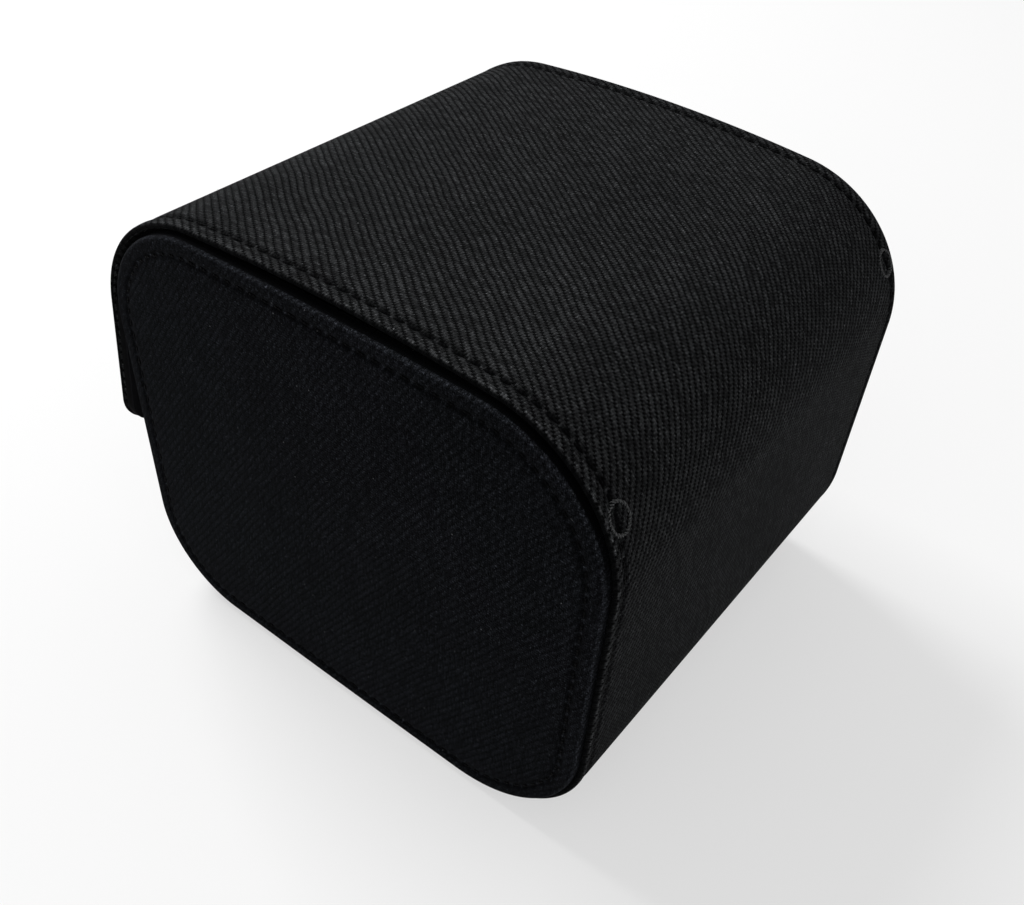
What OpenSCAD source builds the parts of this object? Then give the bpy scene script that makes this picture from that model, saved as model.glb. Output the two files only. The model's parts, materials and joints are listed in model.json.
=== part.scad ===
// Travel case for one watch: a cloth-covered box with two rounded end panels.
// One band of cloth makes the front, the bottom and the back, then runs on over
// the top as the lid and down the front as a tongue with a press stud.
// Millimetres. X is the width, -Y the front, +Z up. The origin is the middle of
// the flat bottom, on the surface that the case stands on.

/* [Case] */
// Width of the cloth band, which is the lid's width too
band_w = 85; // [70:1:110]
// Distance from the origin to the outside of the back
back_y = 47; // [44:0.5:60]
// Distance from the origin to the front wall's foot line
foot_y = 45.3; // [43:0.5:60]
// Height of the lid's crown above the surface
crown_z = 80.2; // [74:0.2:100]
// How far each end panel stands out past the band's edge
panel_proud = 1.3; // [0.8:0.1:2]

/* [Outline] */
// Radius of the back's top corner
back_top_r = 22.9; // [18:0.1:26]
// Radius of the back's bottom corner
back_low_r = 22.3; // [14:0.1:26]
// Radius of the front's bottom corner
front_low_r = 18.5; // [12:0.1:24]
// Radius of the lid's front corner
lid_front_r = 24.1; // [18:0.1:28]
// Radius of the lid's arched top
lid_arch_r = 320; // [220:10:600]
// Y of the highest point of the lid's arch
lid_crown_y = 1; // [-4:0.5:6]
// Lean of the front wall, with its top further out than its foot
wall_lean = 2.7; // [0:0.1:5]
// Height of the front wall's top edge
wall_top_z = 54; // [48:0.5:56]

/* [End panels] */
// Drop of the panels' top below the lid's crown
panel_drop = 2.1; // [2:0.1:4]
// Radius of the panels' arched top
panel_arch_r = 700; // [400:50:2000]
// Y of the highest point of the panels' arch
panel_crown_y = 4; // [-2:0.5:8]
// Radius of the panels' back top corner
panel_back_r = 22.4; // [17:0.1:26]
// Radius of the panels' front top corner
panel_front_r = 20; // [14:0.1:24]
// Radius that the turned edge gives a panel's rim
panel_round = 1; // [0.4:0.1:1.2]

/* [Layers] */
// Thickness of the cloth band with its turned edge
cover_t = 1; // [0.7:0.05:1.2]
// Thickness of the board in the front, bottom and back
board_t = 1.4; // [1:0.1:2.2]
// Thickness of the suede lining
lining_t = 0.6; // [0.4:0.05:0.9]
// Thickness of the stiffener in the lid and the tongue
lid_board_t = 0.8; // [0.5:0.05:1.2]
// Thickness of the cloth on an end panel
panel_cover_t = 0.8; // [0.5:0.05:1]
// Thickness of an end panel's board
panel_board_t = 1.5; // [1:0.1:2.5]
// Width of the cloth turned round an end panel's board
panel_hem = 0.7; // [0.5:0.05:1]
// Clearance between the lid's inner layers and each end panel
lid_side_gap = 0.6; // [0.4:0.05:1]

/* [Lid hinge] */
// Place of the hinge line on the back's top corner, above level
hinge_angle = 34; // [15:1:45]
// Radius of the stitched tack at each end of the hinge line
tack_r = 2; // [1.2:0.1:2.5]
// Height of the tack's thread above the cloth
tack_h = 0.5; // [0.3:0.05:0.8]
// Distance of each tack's centre from the band's edge
tack_margin = 3.2; // [2.6:0.1:5]

/* [Tongue] */
// Height of the tongue's lower edge
tongue_tip_z = 33.2; // [30:0.2:38]
// Lean of the tongue, with its tip further out than its fold
tongue_lean = 6.6; // [5:0.1:9]
// Gap between the tongue's tip and the front wall
tongue_tip_gap = 4.1; // [3.8:0.1:6]
// Radius of the tongue's two lower corners
tongue_corner_r = 3; // [2:0.5:10]
// How far the tongue is pressed in to close the press stud
press_angle = 5; // [3:0.25:5.5]
// Relief of the tongue's upper end, past the press
fold_relief = 0.5; // [0.25:0.25:2]

/* [Press stud] */
// Distance from the fold to the press stud, along the tongue
snap_drop = 15; // [13:0.5:16]
// Radius of the cap on the outside of the tongue
cap_r = 5.2; // [4:0.1:5.6]
// Height of the cap's dome
cap_h = 1.5; // [1:0.1:2]
// Radius of the socket's ring
socket_r = 4.2; // [4:0.1:4.6]
// Height of the socket's ring above the tongue's lining
socket_ring_h = 0.5; // [0.4:0.05:0.6]
// Radius of the socket's bore
socket_bore_r = 2.8; // [2.7:0.05:3]
// Wall of the socket's barrel
socket_wall = 0.5; // [0.4:0.05:0.7]
// Radius of the stud's knob
knob_r = 2.1; // [1.6:0.05:2.2]
// Height of the knob above the front wall
knob_h = 1.5; // [1.2:0.05:1.6]
// Radius of the stud's flange and of the rivet's head
flange_r = 4.4; // [3.6:0.1:5]
// Thickness of the stud's flange
flange_t = 0.35; // [0.25:0.05:0.4]
// Radius of the posts through the cloth
post_r = 1.2; // [0.9:0.05:1.4]

/* [Watch pillow] */
// Width of the pillow from front to back
pillow_w = 62; // [52:1:66]
// Height of the pillow
pillow_h = 48; // [40:1:52]
// Gap between each end of the pillow and the end panel
pillow_end_gap = 1.2; // [0.4:0.1:6]
// Depth of the pillow's domed ends
pillow_dome = 4; // [2:0.5:8]
// Thickness of the suede round the pillow
pillow_skin = 0.8; // [0.5:0.1:1.2]
// Squareness of the pillow's section, 2 is an ellipse
pillow_power = 2.6; // [2:0.1:4]

/* [Hidden] */

// Colours, as the photograph shows them
cloth = [0.045, 0.047, 0.055];
suede = [0.10, 0.10, 0.11];
greyboard = [0.42, 0.40, 0.37];
foam = [0.55, 0.55, 0.52];
thread = [0.07, 0.07, 0.08];
gunmetal = [0.16, 0.16, 0.17];

// Steps along each round corner and along the shallow arches
corner_steps = 18;
arch_steps = 14;
$fn = 48;

// How far a cut runs past the faces that it opens
over = 1;

// Half widths
band_half = band_w / 2;
panel_out_x = band_half + panel_proud;
panel_in_x = panel_out_x - panel_cover_t - panel_board_t - lining_t;
lid_in_half = panel_in_x - lid_side_gap;

// Depths of the layers, measured in from the outside of the band
board_in = cover_t + board_t;
lining_in = board_in + lining_t;
lid_board_in = cover_t + lid_board_t;
lid_lining_in = lid_board_in + lining_t;

// A point at an angle on a circle, and points along an arc
function on_circle(c, r, a) = c + r * [cos(a), sin(a)];
function arc(c, r, a0, a1, steps) =
    [for (i = [0 : steps]) on_circle(c, r, a0 + (a1 - a0) * i / steps)];
function angle_of(v) = atan2(v[1], v[0]);
function turned(v, a) = [v[0] * cos(a) - v[1] * sin(a), v[0] * sin(a) + v[1] * cos(a)];
function backwards(p) = [for (i = [len(p) - 1 : -1 : 0]) p[i]];

// Centre of a corner of radius r that runs from a straight wall, with outward
// normal n at distance d from the origin, into an arch about a with radius ar
function corner_centre(a, ar, n, d, r) =
    let (foot = n * (d - r))
    let (up = sign(n[0]) * [-n[1], n[0]])
    let (w = foot - a)
    let (b = w * up)
    foot + up * (-b + sqrt(b * b - w * w + (ar - r) * (ar - r)));

// Outward normals of the straight walls, and their distances from the origin
back_n = [1, 0];
wall_n = [-cos(wall_lean), -sin(wall_lean)];
wall_d = foot_y * cos(wall_lean);
tongue_n = [-cos(tongue_lean), sin(tongue_lean)];
tongue_down = [-sin(tongue_lean), -cos(tongue_lean)];

// The body's outline, taken on the outside of the cloth
front_low_c = [
    -(wall_d - front_low_r + front_low_r * sin(wall_lean)) / cos(wall_lean),
    front_low_r
];
back_low_c = [back_y - back_low_r, back_low_r];

// The lid's arch and the corner that the lid shares with the back
lid_arch_c = [lid_crown_y, crown_z - lid_arch_r];
back_top_c = corner_centre(lid_arch_c, lid_arch_r, back_n, back_y, back_top_r);
lid_back_a = angle_of(back_top_c - lid_arch_c);

// The tongue's line, placed by the gap that its tip keeps to the front wall
tip = [
    -foot_y - tongue_tip_z * tan(wall_lean) - tongue_tip_gap - lid_lining_in,
    tongue_tip_z
];
tongue_d = tongue_n * tip;
lid_front_c = corner_centre(lid_arch_c, lid_arch_r, tongue_n, tongue_d, lid_front_r);
lid_front_a = angle_of(lid_front_c - lid_arch_c);
fold = lid_front_c + tongue_n * lid_front_r;
tongue_len = norm(fold - tip);

// Room that the tongue's inner layers leave below the fold for the press
fold_gap = lid_lining_in * tan(press_angle + fold_relief);

// The hinge line, on the outside of the cloth
hinge = on_circle(back_top_c, back_top_r, hinge_angle);

// The end panels' outline: the cloth's inner face, with a lower arch on top
panel_arch_c = [panel_crown_y, crown_z - panel_drop - panel_arch_r];
panel_back_c = corner_centre(panel_arch_c, panel_arch_r, back_n, back_y - cover_t, panel_back_r);
panel_front_c = corner_centre(panel_arch_c, panel_arch_r, wall_n, wall_d - cover_t, panel_front_r);
panel_back_a = angle_of(panel_back_c - panel_arch_c);
panel_front_a = angle_of(panel_front_c - panel_arch_c);

// Where the press stud lies: the socket's mouth is followed through the press
snap_mouth = fold + snap_drop * tongue_down - (lid_lining_in + socket_ring_h) * tongue_n;
snap_pressed = fold + turned(snap_mouth - fold, press_angle);
stud_foot = snap_pressed + wall_n * (wall_d - wall_n * snap_pressed);
socket_depth = socket_ring_h + lining_t + lid_board_t;
socket_floor = 0.3;
barrel_r = socket_bore_r + socket_wall;

// The knob's narrow neck, and the share of its height that its rounded lip takes
knob_undercut = 0.3;
knob_lip = knob_h * 0.3;

// Angle that keeps the tacks clear of the lid, below the hinge line
tack_clear_a = 1;

// The pillow, seated on the bottom's lining
pillow_half = panel_in_x - pillow_end_gap;
pillow_flat = 0.5;
pillow_c = [0, lining_in + pillow_h / 2 - pillow_flat];
pillow_steps = 56;

// Outline of the body's band at a depth d, from the front wall's edge to the hinge
function wall_edge(z, d) = [-foot_y - z * tan(wall_lean) + d / cos(wall_lean), z];
function wrap_path(d, edge_drop = 0) = concat(
    [wall_edge(wall_top_z - edge_drop, d)],
    arc(front_low_c, front_low_r - d, 180 + wall_lean, 270, corner_steps),
    arc(back_low_c, back_low_r - d, 270, 360, corner_steps),
    arc(back_top_c, back_top_r - d, 0, hinge_angle, corner_steps)
);

// Outline of the lid at a depth d, from the hinge to the fold
function lid_path(d) = concat(
    arc(back_top_c, back_top_r - d, hinge_angle, lid_back_a, corner_steps),
    arc(lid_arch_c, lid_arch_r - d, lid_back_a, lid_front_a, arch_steps),
    arc(lid_front_c, lid_front_r - d, lid_front_a, 180 - tongue_lean, corner_steps)
);

// Closed outline of an end panel at a depth d inside its rim
function panel_path(d) = concat(
    arc(front_low_c, front_low_r - cover_t - d, 180 + wall_lean, 270, corner_steps),
    arc(back_low_c, back_low_r - cover_t - d, 270, 360, corner_steps),
    arc(panel_back_c, panel_back_r - d, 0, panel_back_a, corner_steps),
    arc(panel_arch_c, panel_arch_r - d, panel_back_a, panel_front_a, arch_steps),
    arc(panel_front_c, panel_front_r - d, panel_front_a, 180 + wall_lean, corner_steps)
);

// Section of the pillow at a depth d inside its skin, flat where it rests
function rounded(v) = sign(v) * pow(abs(v), 2 / pillow_power);
function pillow_path(d) = [
    for (i = [0 : pillow_steps - 1])
        let (a = 360 * i / pillow_steps)
        pillow_c + [
            (pillow_w / 2 - d) * rounded(cos(a)),
            max((pillow_h / 2 - d) * rounded(sin(a)), pillow_flat - pillow_h / 2 + d)
        ]
];

// A section drawn in Y and Z, extruded along X between two places
module along_x(x0, x1) {
    translate([x0, 0, 0])
        rotate([90, 0, 90])
            linear_extrude(height = x1 - x0)
                children();
}

// A layer of the band between two depths
module wrap_layer(d0, d1, half, edge_drop = 0) {
    along_x(-half, half)
        polygon(concat(wrap_path(d0, edge_drop), backwards(wrap_path(d1, edge_drop))));
}

// A layer of the lid between two depths
module lid_layer(d0, d1, half) {
    along_x(-half, half)
        polygon(concat(lid_path(d0), backwards(lid_path(d1))));
}

// Local frame on the front wall at the stud, with +Z pointing out
module on_wall() {
    translate([0, stud_foot[0], stud_foot[1]])
        rotate([90 + wall_lean, 0, 0])
            children();
}

// Local frame on the tongue at a distance below the fold, with +Z pointing out
module on_tongue(drop) {
    translate([0, fold[0] + drop * tongue_down[0], fold[1] + drop * tongue_down[1]])
        rotate([90 - tongue_lean, 0, 0])
            children();
}

// A layer of the tongue between two depths, with two rounded lower corners
module tongue_layer(d0, d1, half, top, bottom) {
    r = tongue_corner_r;
    outline = concat(
        [[half, -top], [-half, -top]],
        arc([-half + r, -bottom + r], r, 180, 270, corner_steps),
        arc([half - r, -bottom + r], r, 270, 360, corner_steps)
    );
    on_tongue(0)
        translate([0, 0, -d1])
            linear_extrude(height = d1 - d0)
                polygon(outline);
}

// ---- The band: front, bottom and back ----

module wrap_cover() {
    edge_fold = [
        wall_edge(wall_top_z, cover_t / 2),
        wall_edge(wall_top_z - cover_t, cover_t / 2),
        wall_edge(wall_top_z - cover_t, board_in),
        wall_edge(wall_top_z, board_in)
    ];
    color(cloth)
        difference() {
            union() {
                wrap_layer(0, cover_t, band_half);
                along_x(-panel_in_x, panel_in_x)
                    polygon(edge_fold);
            }
            on_wall()
                translate([0, 0, -cover_t - over])
                    cylinder(r = post_r, h = cover_t + 2 * over);
        }
}

module wrap_board() {
    color(greyboard)
        difference() {
            wrap_layer(cover_t, board_in, panel_in_x, cover_t);
            on_wall()
                translate([0, 0, -board_in - over])
                    cylinder(r = post_r, h = board_in + 2 * over);
            on_wall()
                translate([0, 0, -board_in - over])
                    cylinder(r = flange_r, h = over + flange_t);
        }
}

module wrap_lining() {
    color(suede)
        wrap_layer(board_in, lining_in, panel_in_x);
}

// ---- End panels ----

// Cloth shell of a panel: domed rim outside, with the board's recess inside
module panel_cover(side) {
    x_in = panel_in_x + lining_t;
    x_board = x_in + panel_board_t;
    mid = 1 - cos(45);
    color(cloth)
        mirror([side < 0 ? 1 : 0, 0, 0])
            difference() {
                hull() {
                    along_x(x_in, panel_out_x - panel_round)
                        polygon(panel_path(0));
                    along_x(x_in, panel_out_x - panel_round * mid)
                        polygon(panel_path(panel_round * mid));
                    along_x(x_in, panel_out_x)
                        polygon(panel_path(panel_round));
                }
                along_x(x_in - over, x_board)
                    polygon(panel_path(panel_hem));
            }
}

module panel_board(side) {
    x_in = panel_in_x + lining_t;
    color(greyboard)
        mirror([side < 0 ? 1 : 0, 0, 0])
            along_x(x_in, x_in + panel_board_t)
                polygon(panel_path(panel_hem));
}

module panel_lining(side) {
    color(suede)
        mirror([side < 0 ? 1 : 0, 0, 0])
            along_x(panel_in_x, panel_in_x + lining_t)
                polygon(panel_path(panel_hem / 2));
}

// ---- Stitched tacks that end the hinge line ----

module hinge_tack(side) {
    tack_angle = hinge_angle - tack_r / back_top_r * 180 / PI - tack_clear_a;
    foot_r = back_top_r - tack_h / 2;
    outer = back_top_r + tack_h;
    color(thread)
        intersection() {
            translate([side * (band_half - tack_margin), back_top_c[0], back_top_c[1]])
                rotate([tack_angle - 90, 0, 0])
                    translate([0, 0, foot_r])
                        cylinder(r = tack_r, h = tack_h * 2);
            along_x(-band_half, band_half)
                polygon(concat(
                    arc(back_top_c, outer, 0, hinge_angle, corner_steps * 2),
                    backwards(arc(back_top_c, back_top_r, 0, hinge_angle, corner_steps))
                ));
        }
}

// ---- Press stud ----

module snap_stud() {
    neck_r = knob_r - knob_undercut;
    profile = [
        [0, 0],
        [flange_r, 0],
        [flange_r, flange_t / 2],
        [flange_r - flange_t, flange_t],
        [neck_r, flange_t],
        [neck_r, knob_h - 2 * knob_lip],
        [knob_r, knob_h - 1.5 * knob_lip],
        [knob_r, knob_h - knob_lip],
        [knob_r - knob_lip, knob_h],
        [0, knob_h]
    ];
    color(gunmetal)
        on_wall()
            difference() {
                rotate_extrude()
                    polygon(profile);
                translate([0, 0, -over])
                    cylinder(r = post_r, h = over + flange_t);
            }
}

module snap_rivet() {
    color(gunmetal)
        on_wall()
            union() {
                translate([0, 0, -board_in])
                    cylinder(r = flange_r, h = flange_t);
                translate([0, 0, -board_in])
                    cylinder(r = post_r, h = board_in + flange_t);
            }
}

module snap_socket() {
    color(gunmetal)
        on_tongue(snap_drop)
            translate([0, 0, -lid_lining_in])
                difference() {
                    union() {
                        translate([0, 0, -socket_ring_h])
                            cylinder(r = socket_r, h = socket_ring_h);
                        cylinder(r = barrel_r, h = lining_t + lid_board_t);
                    }
                    translate([0, 0, -socket_ring_h - over])
                        cylinder(r = socket_bore_r, h = over + socket_depth - socket_floor);
                    translate([0, 0, -socket_ring_h - over])
                        cylinder(r = post_r, h = socket_depth + 2 * over);
                }
}

module snap_cap() {
    dome_r = (cap_r * cap_r + cap_h * cap_h) / (2 * cap_h);
    dome_a = asin(cap_r / dome_r);
    steps = 12;
    dome = [
        for (i = [0 : steps])
            let (a = dome_a * (1 - i / steps))
            [dome_r * sin(a), cap_h - dome_r * (1 - cos(a))]
    ];
    color(gunmetal)
        on_tongue(snap_drop)
            union() {
                rotate_extrude()
                    polygon(concat([[0, 0]], dome));
                translate([0, 0, -cover_t - socket_floor])
                    cylinder(r = post_r, h = cover_t + socket_floor);
            }
}

// ---- Watch pillow ----

module pillow_sleeve() {
    x_end = pillow_half - pillow_dome;
    color(suede)
        along_x(-x_end, x_end)
            difference() {
                polygon(pillow_path(0));
                polygon(pillow_path(pillow_skin));
            }
}

module pillow_core() {
    x_end = pillow_half - pillow_dome;
    color(foam)
        along_x(-x_end, x_end)
            polygon(pillow_path(pillow_skin));
}

module pillow_end(side) {
    x_seam = pillow_half - pillow_dome;
    rings = 3;
    slice = 0.05;
    color(suede)
        mirror([side < 0 ? 1 : 0, 0, 0])
            hull()
                for (i = [0 : rings])
                    let (a = 90 * i / rings)
                    let (x = x_seam + (pillow_dome - slice) * sin(a))
                    along_x(x, x + slice)
                        polygon(pillow_path(2 * pillow_dome * (1 - cos(a))));
}

// ---- Lid ----

module lid_cover() {
    color(cloth)
        lid_layer(0, cover_t, band_half);
}

module lid_board() {
    color(greyboard)
        lid_layer(cover_t, lid_board_in, lid_in_half);
}

module lid_lining() {
    color(suede)
        lid_layer(lid_board_in, lid_lining_in, lid_in_half);
}

// ---- Tongue ----

module tongue_cover() {
    color(cloth)
        difference() {
            tongue_layer(0, cover_t, band_half, 0, tongue_len);
            on_tongue(0)
                rotate([-press_angle - fold_relief, 0, 0])
                    translate([-band_w, 0, -2 * cover_t])
                        cube([2 * band_w, 2 * cover_t, 2 * cover_t]);
            on_tongue(snap_drop)
                translate([0, 0, -cover_t - over])
                    cylinder(r = post_r, h = cover_t + 2 * over);
        }
}

module tongue_board() {
    color(greyboard)
        difference() {
            tongue_layer(cover_t, lid_board_in, lid_in_half, fold_gap, tongue_len - cover_t);
            on_tongue(snap_drop)
                translate([0, 0, -lid_board_in - over])
                    cylinder(r = barrel_r, h = over + lid_board_t);
        }
}

module tongue_lining() {
    color(suede)
        difference() {
            tongue_layer(lid_board_in, lid_lining_in, lid_in_half, fold_gap, tongue_len - cover_t);
            on_tongue(snap_drop)
                translate([0, 0, -lid_lining_in - over])
                    cylinder(r = barrel_r, h = lining_t + 2 * over);
        }
}

wrap_cover();
wrap_board();
wrap_lining();
panel_cover(1);  // right_panel_cover
panel_board(1);  // right_panel_board
panel_lining(1);  // right_panel_lining
panel_cover(-1);  // left_panel_cover
panel_board(-1);  // left_panel_board
panel_lining(-1);  // left_panel_lining
hinge_tack(1);  // right_hinge_tack
hinge_tack(-1);  // left_hinge_tack
snap_stud();
snap_rivet();
pillow_sleeve();
pillow_core();
pillow_end(1);  // pillow_end_right
pillow_end(-1);  // pillow_end_left
lid_cover();
lid_board();
lid_lining();
tongue_cover();
tongue_board();
tongue_lining();
snap_cap();
snap_socket();
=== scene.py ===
"""Looks of a cloth-covered travel case for one watch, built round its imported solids.

One strip of ribbed black cloth makes the front, the bottom, the back, the lid and the
tongue. Two padded panels close its ends, suede lines it, and a pillow lies inside.
Sizes are in millimetres. They become metres where a mesh is made.
"""
import json
import logging
import math
from collections.abc import Sequence
from dataclasses import dataclass, field
from enum import Enum
from typing import Protocol

import bpy
import numpy as np
from mathutils import Matrix, Vector


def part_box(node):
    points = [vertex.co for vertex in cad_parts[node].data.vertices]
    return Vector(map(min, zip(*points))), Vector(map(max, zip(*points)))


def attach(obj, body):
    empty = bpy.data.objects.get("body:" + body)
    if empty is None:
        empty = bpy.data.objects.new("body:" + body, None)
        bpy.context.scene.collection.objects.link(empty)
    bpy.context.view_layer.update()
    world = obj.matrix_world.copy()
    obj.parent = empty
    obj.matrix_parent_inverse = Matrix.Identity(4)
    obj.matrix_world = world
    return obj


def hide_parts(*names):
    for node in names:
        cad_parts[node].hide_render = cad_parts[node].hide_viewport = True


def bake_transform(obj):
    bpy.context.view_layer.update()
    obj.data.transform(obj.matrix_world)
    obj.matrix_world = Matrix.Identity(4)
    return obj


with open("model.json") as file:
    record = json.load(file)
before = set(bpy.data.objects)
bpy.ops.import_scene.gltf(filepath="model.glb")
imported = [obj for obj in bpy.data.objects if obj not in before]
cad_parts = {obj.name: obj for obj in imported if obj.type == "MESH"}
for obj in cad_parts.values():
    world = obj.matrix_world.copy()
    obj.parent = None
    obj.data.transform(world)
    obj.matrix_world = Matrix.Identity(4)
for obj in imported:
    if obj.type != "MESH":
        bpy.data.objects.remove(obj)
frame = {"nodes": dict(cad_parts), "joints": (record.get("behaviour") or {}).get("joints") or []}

Array = np.ndarray
Socket = bpy.types.NodeSocket
Colour = tuple[float, float, float]

LOG = logging.getLogger("watch_case")
MM = 0.001
# Lengths below this count as none, in millimetres
SLIVER = 1e-6
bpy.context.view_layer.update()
UV_MAP = "Cloth"
# Mask of painted highlight along the cloth's folded edges and on the puckers between stitches, kept at the
# mesh's points
EDGE_HIGHLIGHT_MASK = "painted_edge_highlight"
# Mask of painted shade along the stitches, on the sides of cut edges, on the panels' edge walls and on the
# lining's turned-up edges
SEAM_MASK = "seam_shade"
BACK_NORMAL = np.array([1.0, 0.0])
# Offset of a sheet's inner face in flat coordinates, so that its weave isn't the outer face's
INNER_SHIFT = np.array([0.0, 0.4])


class Body(Enum):
    """The rigid bodies that pieces ride on."""

    CASE = "case"
    LID = "lid"
    TONGUE = "tongue"


class Side(Enum):
    """The two ends of the case, as the sign of X."""

    RIGHT = 1
    LEFT = -1


# ---------------------------------------------------------------- outlines


@dataclass(frozen=True)
class Straight:
    """A straight stretch of an outline, from one point of a plane to another."""

    start: Array
    end: Array

    @property
    def length(self) -> float:
        """Length of the stretch."""
        return float(np.linalg.norm(self.end - self.start))

    def at(self, run: Array) -> tuple[Array, Array]:
        """Points and outward normals along the stretch.

        Args:
            run: Distances from the start.

        Returns:
            The points and their normals, each of shape (n, 2).
        """
        along = (self.end - self.start) / self.length
        normal = np.array([along[1], -along[0]])
        return self.start + run[:, None] * along, np.repeat(normal[None], len(run), axis=0)


@dataclass(frozen=True)
class Bend:
    """A round stretch of an outline, turning left, with its angles in degrees."""

    centre: Array
    radius: float
    first: float
    last: float

    @property
    def length(self) -> float:
        """Length of the stretch."""
        return self.radius * math.radians(self.last - self.first)

    def at(self, run: Array) -> tuple[Array, Array]:
        """Points and outward normals along the stretch.

        Args:
            run: Distances from the start.

        Returns:
            The points and their normals, each of shape (n, 2).
        """
        angle = math.radians(self.first) + run / self.radius
        normal = np.stack([np.cos(angle), np.sin(angle)], axis=1)
        return self.centre + self.radius * normal, normal


class Outline:
    """A chain of straight and round stretches, measured by its length."""

    def __init__(self, stretches: Sequence[Straight | Bend]) -> None:
        """Keeps the stretches that have a length.

        Args:
            stretches: The stretches in order, each starting where the last ends.
        """
        self.stretches = [s for s in stretches if s.length > SLIVER]
        self.starts = np.concatenate([[0.0], np.cumsum([s.length for s in self.stretches])])

    @property
    def length(self) -> float:
        """Length of the whole outline."""
        return float(self.starts[-1])

    def at(self, run: Array) -> tuple[Array, Array]:
        """Points and outward normals at distances along the outline.

        Args:
            run: Distances from the outline's start, of any shape.

        Returns:
            The points and their normals, with a last axis of two numbers.
        """
        flat = np.asarray(run, float).ravel()
        which = np.clip(np.searchsorted(self.starts, flat, side="right") - 1, 0, len(self.stretches) - 1)
        points, normals = np.empty((len(flat), 2)), np.empty((len(flat), 2))
        for i, stretch in enumerate(self.stretches):
            mine = which == i
            points[mine], normals[mine] = stretch.at(flat[mine] - self.starts[i])
        shape = (*np.shape(run), 2)
        return points.reshape(shape), normals.reshape(shape)


def on_circle(centre: Array, radius: float, angle: float) -> Array:
    """A point on a circle, at an angle in degrees."""
    return centre + radius * np.array([math.cos(math.radians(angle)), math.sin(math.radians(angle))])


def angle_of(v: Array) -> float:
    """The direction of a vector, in degrees."""
    return math.degrees(math.atan2(v[1], v[0]))


def corner_centre(arch: Array, arch_r: float, normal: Array, distance: float, radius: float) -> Array:
    """Centre of a round corner between a straight wall and an arch above it.

    Args:
        arch: Centre of the arch.
        arch_r: Radius of the arch.
        normal: The wall's outward normal.
        distance: The wall's distance from the origin, along its normal.
        radius: Radius of the corner.

    Returns:
        The centre, as (y, z).
    """
    foot = normal * (distance - radius)
    up = np.sign(normal[0]) * np.array([-normal[1], normal[0]])
    reach = foot - arch
    along = float(reach @ up)
    return foot + up * (-along + math.sqrt(along * along - float(reach @ reach) + (arch_r - radius) ** 2))


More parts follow.
